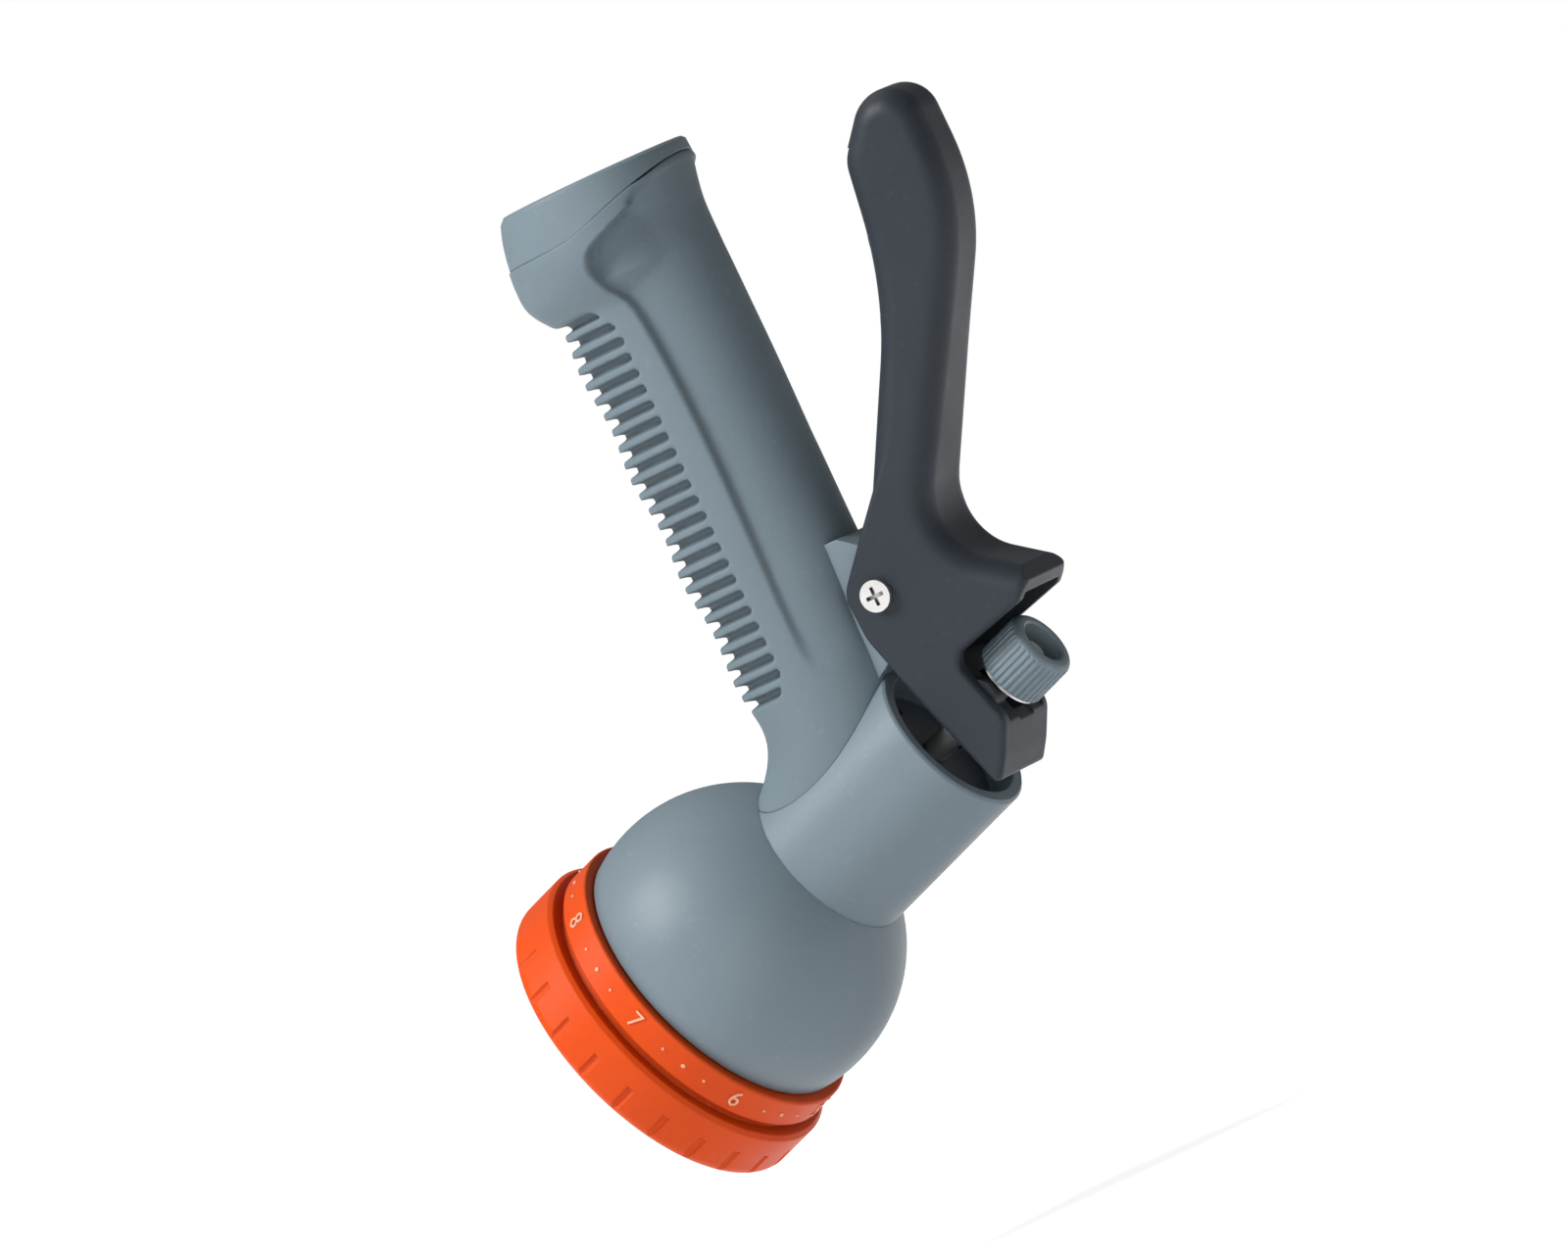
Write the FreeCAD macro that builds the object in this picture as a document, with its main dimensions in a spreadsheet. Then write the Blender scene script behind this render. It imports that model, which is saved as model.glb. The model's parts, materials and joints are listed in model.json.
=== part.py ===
"""Hose spray nozzle: a hanging grip, a tilted barrel with a lift valve, and an eight-pattern dial.

Frame: +Z up out of the hose inlet, origin at the centre of the inlet's mouth.  The grip runs
down -Z, the water leaves towards -X and a little downwards, and the lever is on the +X side.
Millimetres and degrees.
"""
import FreeCAD, Part
import math
import os
import Sketcher
from types import SimpleNamespace

Vector = FreeCAD.Vector

# ------------------------------------------------------------------ driving sizes
SIZES = {
    # inlet and collar
    "collar_radius": 18.6,         # at the inlet's mouth
    "collar_flare": 0.9,           # the collar widens by this towards its lower edge
    "collar_bulge": 2.4,           # its swell towards the spray, under the fingers
    "collar_front": 20.5,          # collar's depth on the spray side
    "lip_round": 0.6,              # broken edge round the mouth
    "thread_minor": 12.2,          # radius over the crests of the female hose thread
    "thread_depth": 1.3,           # radial depth of a thread groove
    "thread_pitch": 2.2,
    "thread_length": 13.0,
    "washer_thick": 2.6,
    "washer_bore": 8.2,
    "filter_flange": 1.0,
    "filter_length": 11.0,
    "shut_line": 9.4,              # where the grip's rubber begins, below the mouth
    "shut_rise": 20.0,             # slope of that line on the lever side
    "shut_round": 25.0,            # the line's bend between level and slope
    "seam_gap": 0.12,              # open line between two mouldings
    # grip
    "handle_drop": 126.8,          # inlet mouth to the barrel's axis, down the grip's axis
    "core_radius": 11.2,           # hard tube inside the rubber
    "sleeve_radius": 15.4,         # the same tube where it holds the thread
    "passage_radius": 7.6,         # water passage
    "grip_front": 17.6,            # rubber's reach towards the spray side, over the fins
    "grip_rear": 18.3,             # rubber's reach towards the lever
    "grip_side": 15.0,             # rubber's half width
    "grip_taper": 2.6,             # how much slimmer the lower end is
    "fin_depth": 2.2,              # from a fin's tip down to the floor between fins
    "side_step": 1.8,              # the same at the sides, and the step of the rear panel
    "finger_wave": 0.5,            # swell of the fin tips under the fingers
    "wave_length": 21.0,
    "fin_top": 22.5,               # first slot, below the mouth
    "fin_pitch": 3.2,
    "slot_width": 1.9,
    "slot_count": 25,
    "slot_end": 1.0,               # where the slots stop on the sides, spray side of the axis
    "slot_round": 6.0,             # the slot field's rounded corners
    "panel_edge": 4.4,             # rear panel's edge, lever side of the axis
    "panel_top": 10.0,
    "panel_arch": 3.0,             # the panel's upper end reaches this much further round the sides
    "panel_arch_length": 16.0,
    "panel_length": 88.0,
    "neck_flare": 7.5,             # the grip spreads by this where it runs into the bell
    "panel_sink": 0.8,             # rear panel below the rest of the rubber, at the very rear
    # barrel
    "barrel_tilt": 18.7,           # spray direction, below the horizontal
    "barrel_radius": 16.7,
    "barrel_rear": 20.0,           # grip's axis to the rear rim, along the barrel
    "barrel_front": 15.7,          # grip's axis to the bell
    "rim_recess": 6.0,
    "rim_wall": 2.5,
    "chamber_radius": 11.5,
    "gland_radius": 13.0,
    "gland_thick": 5.0,
    "gland_washer": 0.8,
    "spigot_radius": 14.4,
    "spigot_length": 5.0,
    "seat_radius": 12.4,
    "seat_thick": 3.6,
    "seat_bore": 5.2,
    "seat_lip": 0.5,
    "fit_gap": 0.05,               # radial clearance of a shaft in its hole
    "rest_gap": 0.3,               # clearance between faces that only come close
    # valve
    "stem_radius": 2.5,
    "poppet_radius": 8.2,
    "poppet_thick": 4.2,
    "seal_thick": 2.0,
    "spring_radius": 5.4,
    "spring_wire": 0.5,
    "spring_turns": 5,
    "oring_section": 0.85,
    # bell
    "bell_radius": 30.2,
    "bell_wall": 2.4,
    "bell_lip": 7.8,               # front edge, ahead of the ball's centre
    "plate_radius": 27.0,
    "plate_thick": 3.0,
    "plate_ledge": 2.2,
    "port_circle": 16.0,
    "port_radius": 3.2,
    "seal_wall": 1.4,
    "hub_radius": 6.6,
    "detent_circle": 21.7,
    "detent_ball": 1.5,
    # dial
    "dial_gap": 0.35,
    "band_radius": 31.2,           # number band
    "band_width": 6.5,
    "dial_groove": 1.5,
    "groove_depth": 1.4,
    "rim_proud": 1.8,              # finger rim, beyond the band
    "rim_width": 11.4,
    "dial_wall": 4.0,
    "dial_floor": 3.0,
    "pattern_count": 8,
    "face_sink": 3.0,
    "face_thick": 3.0,
    "insert_radius": 5.2,
    "notch_count": 24,
    "notch_radius": 0.9,
    "notch_length": 6.5,
    "screw_shank": 2.0,
    "screw_shoulder": 3.0,
    "screw_head": 4.3,
    # lever
    "pivot_behind": 32.1,          # pivot's foot on the barrel's axis, behind the grip's axis
    "pivot_arm": 26.2,             # pivot's distance from the barrel's axis
    "ear_radius": 6.8,
    "lug_radius": 6.0,
    "lug_rise": 12.4,              # lug's root above the pivot
    "lug_half": 7.4,
    "ear_gap": 0.5,
    "ear_thick": 2.6,
    "pin_radius": 1.95,
    "bush_wall": 1.1,
    "pin_head": 3.0,
    "pin_head_thick": 1.5,
    "arm_half": 8.6,
    "arm_wall": 2.6,
    "arm_reach": 83.0,             # arm's top above the pivot
    "arm_offset": 25.9,            # arm's inner face behind the pivot
    "arm_depth": 20.2,
    "arm_bend": 55.0,              # where it begins to lean forward
    "arm_round": 1.2,              # inner edges of the arm
    "arm_crown": 5.0,              # its rounded back edges
    "nose_radius": 3.4,            # rounded noses that push the knob's washer
    "yoke_gap": 4.0,               # yoke's front edge behind the barrel's rim
    "yoke_drop": 14.8,             # yoke's lower edge below the barrel's axis
    # flow knob
    "knob_gap": 0.25,
    "knob_washer": 0.5,
    "knob_radius": 7.0,
    "knob_length": 9.7,
    "knob_recess": 4.0,
    "rib_count": 36,
    "rib_radius": 0.32,
}


class Size:
    """A number together with the sheet formula that gives it."""

    def __init__(self, value, formula):
        self.value = value
        self.formula = formula

    def __add__(self, other):
        other = asSize(other)
        return Size(self.value + other.value, "(%s + %s)" % (self.formula, other.formula))

    def __sub__(self, other):
        other = asSize(other)
        return Size(self.value - other.value, "(%s - %s)" % (self.formula, other.formula))

    def __mul__(self, other):
        other = asSize(other)
        return Size(self.value * other.value, "(%s * %s)" % (self.formula, other.formula))

    def __truediv__(self, other):
        other = asSize(other)
        return Size(self.value / other.value, "(%s / %s)" % (self.formula, other.formula))

    def __neg__(self):
        return Size(-self.value, "(0 - %s)" % self.formula)

    def __radd__(self, other):
        return asSize(other) + self

    def __rsub__(self, other):
        return asSize(other) - self

    def __rmul__(self, other):
        return asSize(other) * self

    def __rtruediv__(self, other):
        return asSize(other) / self


def asSize(number):
    return number if isinstance(number, Size) else Size(float(number), repr(float(number)))


def root(size):
    return Size(math.sqrt(size.value), "sqrt(%s)" % size.formula)


def cosine(size):
    return Size(math.cos(math.radians(size.value)), "cos(%s * 1deg)" % size.formula)


def sine(size):
    return Size(math.sin(math.radians(size.value)), "sin(%s * 1deg)" % size.formula)


doc = FreeCAD.newDocument("spray_nozzle")
sheet = doc.addObject("Spreadsheet::Sheet", "sizes")
for row, (name, value) in enumerate(SIZES.items(), start=1):
    sheet.set("A%d" % row, name)
    sheet.set("B%d" % row, str(value))
    sheet.setAlias("B%d" % row, name)
doc.recompute()
d = SimpleNamespace(**{name: Size(float(value), "sizes." + name) for name, value in SIZES.items()})

nodes = []


# ------------------------------------------------------------------ drawing helpers
def bind(thing, path, size):
    """Give a property its size, and tie it to the sheet where the size comes from there."""
    thing.setExpression(path, asSize(size).formula)


def finish(thing, label):
    """Name a finished sub-part."""
    thing.Label = label
    nodes.append(thing)
    return thing


def newBody(name, onBarrel=False):
    body = doc.addObject("PartDesign::Body", name)
    if onBarrel:
        body.setExpression("Placement", "barrel_line.Placement")
    return body


def newSketch(body, role, name, height=0):
    """A sketch on one of the body's own planes, raised along the plane's normal by height."""
    plane = [item for item in body.Origin.OriginFeatures if item.Role == role][0]
    sketch = body.newObject("Sketcher::SketchObject", name)
    sketch.AttachmentSupport = [(plane, "")]
    sketch.MapMode = "FlatFace"
    if not (isinstance(height, (int, float)) and height == 0):
        bind(sketch, "AttachmentOffset.Base.z", height)
    return sketch


def pin(sketch, item, end, x, y):
    """Fix one end of a piece of geometry at x, y, bound to the sheet."""
    for kind, axis, value in (("DistanceX", -2, x), ("DistanceY", -1, y)):
        value = asSize(value)
        if value.formula == "0.0":
            sketch.addConstraint(Sketcher.Constraint("PointOnObject", item, end, axis))
            continue
        index = sketch.addConstraint(Sketcher.Constraint(kind, -1, 1, item, end, value.value))
        sketch.setExpression("Constraints[%d]" % index, value.formula)


def setRadius(sketch, item, size):
    size = asSize(size)
    index = sketch.addConstraint(Sketcher.Constraint("Radius", item, size.value))
    sketch.setExpression("Constraints[%d]" % index, size.formula)


def circle(sketch, x, y, radius):
    centre = Vector(asSize(x).value, asSize(y).value, 0)
    item = sketch.addGeometry(Part.Circle(centre, Vector(0, 0, 1), asSize(radius).value), False)
    pin(sketch, item, 3, x, y)
    setRadius(sketch, item, radius)
    return item


def arcThrough(start, stop, radius):
    """Arc from start to stop, counter-clockwise where radius is positive."""
    chord = stop - start
    middle = (start + stop) * 0.5
    rise = math.sqrt(max(radius * radius - chord.Length ** 2 / 4, 0))
    side = Vector(-chord.y, chord.x, 0).normalize() * (rise if radius > 0 else -rise)
    centre = middle + side
    first, last = (start, stop) if radius > 0 else (stop, start)
    angles = [math.atan2(p.y - centre.y, p.x - centre.x) for p in (first, last)]
    return Part.ArcOfCircle(Part.Circle(centre, Vector(0, 0, 1), abs(radius)), *angles)


def outline(sketch, corners):
    """Closed outline through corners (x, y, round, arc).

    round, where given, rounds the corner.  arc, where given, is the radius of the stretch to
    the next corner, positive where it bulges to the right of the way round.
    """
    corners = [tuple(corner) + (0,) * (4 - len(corner)) for corner in corners]
    count = len(corners)
    points = [Vector(asSize(c[0]).value, asSize(c[1]).value, 0) for c in corners]
    leave, arrive, arcs = list(points), list(points), {}
    for i, corner in enumerate(corners):
        radius = asSize(corner[2]).value
        if radius == 0:
            continue
        back = (points[i - 1] - points[i]).normalize()
        ahead = (points[(i + 1) % count] - points[i]).normalize()
        half = back.getAngle(ahead) / 2
        arrive[i] = points[i] + back * (radius / math.tan(half))
        leave[i] = points[i] + ahead * (radius / math.tan(half))
        turnsLeft = back.cross(ahead).z < 0
        arcs[i] = arcThrough(arrive[i], leave[i], radius if turnsLeft else -radius), turnsLeft
    edges, flips = [], []
    for i, corner in enumerate(corners):
        start, stop = leave[i], arrive[(i + 1) % count]
        bulge = asSize(corner[3]).value
        shape = arcThrough(start, stop, bulge) if bulge else Part.LineSegment(start, stop)
        edges.append(sketch.addGeometry(shape, False))
        flips.append(bulge < 0)
        if bulge:
            setRadius(sketch, edges[i], corner[3] if bulge > 0 else -asSize(corner[3]))
    for i, corner in enumerate(corners):
        before, after = edges[i - 1], edges[i]
        beforeEnd, afterEnd = (1 if flips[i - 1] else 2), (2 if flips[i] else 1)
        if i not in arcs:
            sketch.addConstraint(Sketcher.Constraint("Coincident", before, beforeEnd, after, afterEnd))
            pin(sketch, after, afterEnd, corner[0], corner[1])
            continue
        shape, turnsLeft = arcs[i]
        arc = sketch.addGeometry(shape, False)
        first, last = (1, 2) if turnsLeft else (2, 1)
        sketch.addConstraint(Sketcher.Constraint("Tangent", before, beforeEnd, arc, first))
        sketch.addConstraint(Sketcher.Constraint("Tangent", arc, last, after, afterEnd))
        setRadius(sketch, arc, corner[2])
        mark = sketch.addGeometry(Part.Point(points[i]), True)
        pin(sketch, mark, 1, corner[0], corner[1])
        sketch.addConstraint(Sketcher.Constraint("PointOnObject", mark, 1, before))
        sketch.addConstraint(Sketcher.Constraint("PointOnObject", mark, 1, after))


def turn(body, corners, name="turned"):
    """Turned solid: corners are (radius, height) pairs about the body's own Z axis."""
    sketch = newSketch(body, "XZ_Plane", name + "_profile")
    outline(sketch, corners)
    feature = body.newObject("PartDesign::Revolution", name)
    feature.Profile = sketch
    feature.ReferenceAxis = (sketch, ["V_Axis"])
    feature.Angle = 360
    return feature


def groove(body, corners, name="groove"):
    sketch = newSketch(body, "XZ_Plane", name + "_profile")
    outline(sketch, corners)
    feature = body.newObject("PartDesign::Groove", name)
    feature.Profile = sketch
    feature.ReferenceAxis = (sketch, ["V_Axis"])
    feature.Angle = 360
    return feature


def turned(name, corners, onBarrel=True):
    body = newBody(name, onBarrel)
    turn(body, corners)
    return body


def ring(name, inner, outer, low, high, onBarrel=True):
    """Plain ring between two radii and two heights."""
    return turned(name, [(inner, low), (outer, low), (outer, high), (inner, high)], onBarrel)


def disc(name, radius, low, high, onBarrel=True):
    return turned(name, [(0, low), (radius, low), (radius, high), (0, high)], onBarrel)


def oring(name, radius, section, height, onBarrel=True):
    """Rubber ring of round section."""
    body = newBody(name, onBarrel)
    sketch = newSketch(body, "XZ_Plane", name + "_profile")
    circle(sketch, radius, height, section)
    feature = body.newObject("PartDesign::Revolution", name + "_turned")
    feature.Profile = sketch
    feature.ReferenceAxis = (sketch, ["V_Axis"])
    feature.Angle = 360
    return body


def prism(name, corners, half, onBarrel=False):
    """Outline in the XZ plane, spread by half to each side of it."""
    body = newBody(name, onBarrel)
    sketch = newSketch(body, "XZ_Plane", name + "_outline")
    outline(sketch, corners)
    feature = body.newObject("PartDesign::Pad", name + "_pad")
    feature.Profile = sketch
    bind(feature, "Length", half * 2)
    feature.Midplane = True
    return body


def bar(name, x, z, radius, low, high):
    """Round bar across the part, from Y = low to Y = high."""
    thing = doc.addObject("Part::Cylinder", name)
    bind(thing, "Radius", radius)
    bind(thing, "Height", high - low)
    thing.Placement.Rotation = FreeCAD.Rotation(Vector(1, 0, 0), -90)
    bind(thing, "Placement.Base.x", x)
    bind(thing, "Placement.Base.y", low)
    bind(thing, "Placement.Base.z", z)
    return thing


def drilled(body, spots, radius, low, high, name):
    """Round holes through a barrel-line body, at spots across its axis."""
    sketch = newSketch(body, "XY_Plane", name + "_spots", low)
    for x, y in spots:
        circle(sketch, x, y, radius)
    feature = body.newObject("PartDesign::Pocket", name)
    feature.Profile = sketch
    feature.Reversed = True
    bind(feature, "Length", high - low)
    return feature


def polar(body, feature, count, name):
    """Repeat a feature round the body's own Z axis."""
    pattern = body.newObject("PartDesign::PolarPattern", name)
    pattern.Originals = [feature]
    pattern.Axis = ([item for item in body.Origin.OriginFeatures if item.Role == "Z_Axis"][0], [""])
    pattern.Angle = 360
    bind(pattern, "Occurrences", count)
    body.Tip = pattern
    return pattern


def fuse(name, *things):
    thing = doc.addObject("Part::MultiFuse", name)
    thing.Shapes = list(things)
    return thing


def cut(name, base, tool):
    thing = doc.addObject("Part::Cut", name)
    thing.Base = base
    thing.Tool = tool
    return thing


def cutInTurn(name, base, tools):
    """Cut several tools away one after the other."""
    for index, tool in enumerate(tools[:-1]):
        base = cut("%s_cut_%d" % (name, index), base, tool)
    return cut(name, base, tools[-1])


def common(name, one, other):
    thing = doc.addObject("Part::MultiCommon", name)
    thing.Shapes = [one, other]
    return thing


def spring(name, radius, wire, low, high, turns, above=0):
    """Coil spring along the barrel's line or beside it, between two heights."""
    helix = doc.addObject("Part::Helix", name + "_helix")
    reach = high - low - wire * 2
    bind(helix, "Pitch", reach / turns)
    bind(helix, "Height", reach)
    bind(helix, "Radius", radius)
    wireEnd = doc.addObject("Part::Circle", name + "_wire")
    bind(wireEnd, "Radius", wire)
    wireEnd.Placement.Rotation = FreeCAD.Rotation(Vector(1, 0, 0), 90)
    bind(wireEnd, "Placement.Base.x", radius)
    sweep = doc.addObject("Part::Sweep", name)
    sweep.Sections = [wireEnd]
    sweep.Spine = (helix, ["Edge1"])
    sweep.Solid = True
    sweep.Frenet = True
    setOffAxis(sweep, asSize(above), low + wire)
    return sweep


def ellipse(name, height, front, rear, side):
    """Level oval section round the grip's axis, by its reach to the front, the rear and the sides."""
    thing = doc.addObject("Part::Ellipse", name)
    bind(thing, "MajorRadius", (front + rear) / 2)
    bind(thing, "MinorRadius", side)
    bind(thing, "Placement.Base.x", (rear - front) / 2)
    bind(thing, "Placement.Base.z", height)
    return thing


def loft(name, sections):
    thing = doc.addObject("Part::Loft", name)
    thing.Sections = [ellipse("%s_section_%d" % (name, i), *s) for i, s in enumerate(sections)]
    thing.Solid = True
    thing.Ruled = False
    return thing


def edgesWhere(shape, test):
    """Names of the edges whose every sampled point passes a test."""
    names = []
    for index, edge in enumerate(shape.Edges, start=1):
        if edge.Degenerated:
            continue
        start, stop = edge.ParameterRange
        points = [edge.valueAt(start + (stop - start) * i / 4) for i in range(5)]
        if all(test(point) for point in points):
            names.append("Edge%d" % index)
    return names


def fillet(body, base, names, radius, name):
    feature = body.newObject("PartDesign::Fillet", name)
    feature.Base = (base, names)
    bind(feature, "Radius", radius)
    return feature


# ------------------------------------------------------------------ stations
# Along the barrel's line, from the grip's axis, towards the spray.
rim = -d.barrel_rear
recessFloor = rim + d.rim_recess
glandBack = recessFloor - 0.3
glandFront = glandBack + d.gland_thick
chamberBack = glandFront + d.gland_washer
spigotEnd = d.barrel_front + d.spigot_length
seatBack = spigotEnd - d.seat_thick - 4.9
sealFront = seatBack - d.seat_lip - d.rest_gap
sealBack = sealFront - d.seal_thick
poppetBack = sealBack - d.poppet_thick
noseBack = -d.pivot_behind - d.nose_radius
washerFront = noseBack - d.knob_gap
knobFront = washerFront - d.knob_washer
knobBack = knobFront - d.knob_length
knobFloor = knobBack + d.knob_recess
bellCentre = d.barrel_front + root(d.bell_radius * d.bell_radius - d.barrel_radius * d.barrel_radius)
bellEdge = bellCentre + d.bell_lip
plateFront = bellEdge - d.rest_gap
plateBack = plateFront - d.plate_thick
dialBack = bellEdge + d.dial_gap
bandFront = dialBack + d.band_width
rimBack = bandFront + d.dial_groove
dialFront = rimBack + d.rim_width
floorFront = dialBack + d.dial_floor
faceFront = dialFront - d.face_sink
faceBack = faceFront - d.face_thick
stemEnd = knobFloor - 1.6
stemBore = d.stem_radius + d.fit_gap
earHalf = d.lug_half + d.ear_gap + d.ear_thick
plateHalf = d.lug_half + d.ear_gap

tiltCos, tiltSin = cosine(d.barrel_tilt), sine(d.barrel_tilt)


def offBarrel(along, above):
    """X and Z of a point given along and above the barrel's line."""
    return -tiltCos * along - tiltSin * above, -d.handle_drop - tiltSin * along + tiltCos * above


pivotX, pivotZ = offBarrel(-d.pivot_behind, d.pivot_arm)


def offPivot(along, above):
    """The same point, measured from the lever's pivot."""
    x, z = offBarrel(along, above)
    return x - pivotX, z - pivotZ


def fromPivot(corners):
    """Corners given from the pivot, in the part's frame."""
    return [(pivotX + corner[0], pivotZ + corner[1]) + tuple(corner[2:]) for corner in corners]


line = doc.addObject("Part::Line", "barrel_line")
bind(line, "Placement.Base.z", -d.handle_drop)
line.Placement.Rotation = FreeCAD.Rotation(Vector(0, 1, 0), -90)
bind(line, "Placement.Rotation.Angle", -d.barrel_tilt - 90)


# ------------------------------------------------------------------ main body
def underShutLine(name, drop):
    """Everything below the slanting line where the rubber begins."""
    top = -d.shut_line - drop
    rise = sine(d.shut_rise) / cosine(d.shut_rise)
    wide = d.collar_radius * 2
    return prism(name, [(-wide, top), (-wide, -d.handle_drop * 1.5), (wide, -d.handle_drop * 1.5),
                        (wide, top + rise * wide), (0, top, d.shut_round)], wide)


def collarReach(share):
    """Front, rear and side reach of the collar, share running 0 at its lip to 1 where it is widest."""
    radius = d.collar_radius + d.collar_flare * share
    return radius + d.collar_bulge * (1 - (1 - share) ** 2), radius, radius - 0.01


def collarBlank():
    """The collar's outside, with its edge broken round the mouth."""
    depth = d.collar_front * 0.75
    shares = (0, 0.33, 0.6, 0.82, 1)
    wall = loft("collar_wall", [(-depth * i / 4,) + collarReach(share) for i, share in enumerate(shares)])
    mouth, wide = d.collar_radius - d.lip_round, d.collar_radius * 1.5
    lip = turned("collar_lip", [(0, 0), (mouth, 0), (wide, mouth - wide), (wide, -d.collar_front),
                                (0, -d.collar_front)], False)
    return common("collar", wall, lip)


def mainBody():
    cap = cut("collar_cap", collarBlank(), underShutLine("under_collar", asSize(0)))
    seatEnd = -d.thread_length - d.washer_thick
    tube = turned("handle_tube", [(0, -1), (0, -d.handle_drop), (d.core_radius, -d.handle_drop),
                                  (d.core_radius, seatEnd - 7), (d.sleeve_radius, seatEnd - 2),
                                  (d.sleeve_radius, -1)], False)
    barrel = turned("barrel_tube", [(0, rim), (d.barrel_radius - 0.5, rim), (d.barrel_radius, rim + 0.5),
                                    (d.barrel_radius, d.barrel_front), (d.spigot_radius, d.barrel_front),
                                    (d.spigot_radius, spigotEnd), (0, spigotEnd)])
    lug = prism("pivot_lug", lugCorners(), d.lug_half)
    solid = fuse("body_solid", cap, tube, barrel, lug)
    bores = fuse("body_bores", inletBore(), barrelBore(), bar("lug_bore", pivotX, pivotZ, d.pin_radius
                 + d.fit_gap + d.bush_wall, -d.lug_half - 1, d.lug_half + 1))
    finish(cut("main_body", solid, bores), "main_body")


def lugCorners():
    top = fromPivot([(-4.6, d.lug_rise, 1.5), (d.lug_radius * 1.05, 4.5, 5.0), (d.lug_radius * 1.05, -5.5, 5.0)])
    rimTop = offBarrel(rim + 0.6, d.barrel_radius - 1)
    return [(0, pivotZ + d.lug_rise), (0, rimTop[1] - 8), rimTop] + top[::-1]


def inletBore():
    """Female hose thread as level rings, the washer's seat, the filter's seat and the passage."""
    wall, crest = d.thread_minor, d.thread_minor + d.thread_depth
    corners = [(0, 1), (wall, 1)]
    for turn_ in range(5):
        top = -d.thread_pitch * (turn_ + 0.6)
        corners += [(wall, top), (crest, top - 0.6), (crest, top - 1.0), (wall, top - 1.6)]
    seat = -d.thread_length - d.washer_thick
    corners += [(wall, -d.thread_length), (crest, -d.thread_length), (crest, seat),
                (wall - 1, seat), (wall - 1, seat - d.filter_flange),
                (d.passage_radius, seat - d.filter_flange), (d.passage_radius, -d.handle_drop),
                (0, -d.handle_drop)]
    return turned("inlet_bore", corners, False)


def barrelBore():
    inner = d.barrel_radius - d.rim_wall
    return turned("barrel_bore", [(0, rim - 1), (inner, rim - 1), (inner, recessFloor),
                                  (d.gland_radius, recessFloor), (d.gland_radius, chamberBack),
                                  (d.chamber_radius, chamberBack), (d.chamber_radius, seatBack),
                                  (d.seat_radius, seatBack), (d.seat_radius, spigotEnd + 1),
                                  (0, spigotEnd + 1)])


# ------------------------------------------------------------------ grip
def gripReach(station):
    """Front, rear and side reach of the rubber, station running 0 to 1 down the fins."""
    slim = d.grip_taper * station * station
    belly = math.sin(math.pi * station) * 0.5
    return d.grip_front - slim, d.grip_rear - slim + belly, d.grip_side - slim * 0.4


def gripLofts():
    """The rubber's skin over the fins, and the waist that shows between them and in the panel."""
    steps = 8
    skin, waist = [], []
    for step in range(-1, steps + 2):
        height = -d.fin_top - d.wave_length * (step / 2)
        front, rear, side = gripReach(step / steps)
        wave = d.finger_wave * (1 if step % 2 else -1)
        skin.append((height, front + wave, rear, side))
        waist.append((height, front - d.fin_depth, rear - d.panel_sink, side - d.side_step))
    return loft("grip_skin", skin), loft("grip_waist", waist)


def neckFlare():
    """The rubber's foot on the spray side, curving out onto the bell."""
    front, rear, side = gripReach(1)
    low = -d.handle_drop + d.barrel_radius
    spread = (0, 0.04, 0.2, 0.52, 1.1)
    return loft("neck_flare", [(low + d.neck_flare - d.neck_flare * i / 2, front + d.neck_flare * spread[i],
                                rear - 0.3, side - 0.3) for i in range(5)])


def collarSkirt():
    """Rubber over the collar, rounding into the grip."""
    wideFront, wideRear, wideSide = collarReach(1)
    front, rear, side = gripReach(0)
    return loft("collar_skirt", [(-2,) + collarReach(0.15), (-d.collar_front + 13,) + collarReach(0.6),
                                 (-d.collar_front + 7.5, wideFront, wideRear, wideSide),
                                 (-d.collar_front + 2.5, wideFront - 0.3, wideRear - 1.0, wideSide - 1.5),
                                 (-d.collar_front - 3, front - 0.4, rear - 0.4, side - 0.4)])


def finSlots():
    """Level slots between the fins, held within a field on the spray side of the grip."""
    slab = newBody("slot_slabs")
    wide = d.collar_radius * 2
    sketch = newSketch(slab, "XY_Plane", "slot_plan", -d.fin_top)
    outline(sketch, [(-wide, -wide), (wide, -wide), (wide, wide), (-wide, wide)])
    pad = slab.newObject("PartDesign::Pad", "slot_pad")
    pad.Profile = sketch
    pad.Reversed = True
    bind(pad, "Length", d.slot_width)
    rows = slab.newObject("PartDesign::LinearPattern", "slot_rows")
    rows.Originals = [pad]
    rows.Direction = ([item for item in slab.Origin.OriginFeatures if item.Role == "Z_Axis"][0], [""])
    rows.Reversed = True
    bind(rows, "Occurrences", d.slot_count)
    bind(rows, "Length", d.fin_pitch * (d.slot_count - 1))
    slab.Tip = rows
    low = -d.fin_top - d.fin_pitch * d.slot_count
    field = prism("slot_field", [(-wide, -d.fin_top + 1), (-wide, low), (-d.slot_end, low, d.slot_round),
                                 (-d.slot_end, -d.fin_top + 1, d.slot_round)], wide)
    return common("slots", slab, field)


def rearPanel():
    edge, top = d.panel_edge, -d.panel_top
    low = top - d.panel_length
    wide = d.collar_radius * 2
    arch, drop = edge - d.panel_arch, d.panel_arch_length
    bend = drop * 0.375
    corners = [(wide, top), (edge + d.panel_arch, top, bend), (arch, top - drop * 0.31, drop / 4),
               (arch, top - drop * 0.62, drop / 4), (edge, top - drop, bend), (edge, low, bend * 1.5),
               (wide, low)]
    return prism("rear_panel", corners, wide)


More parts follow.
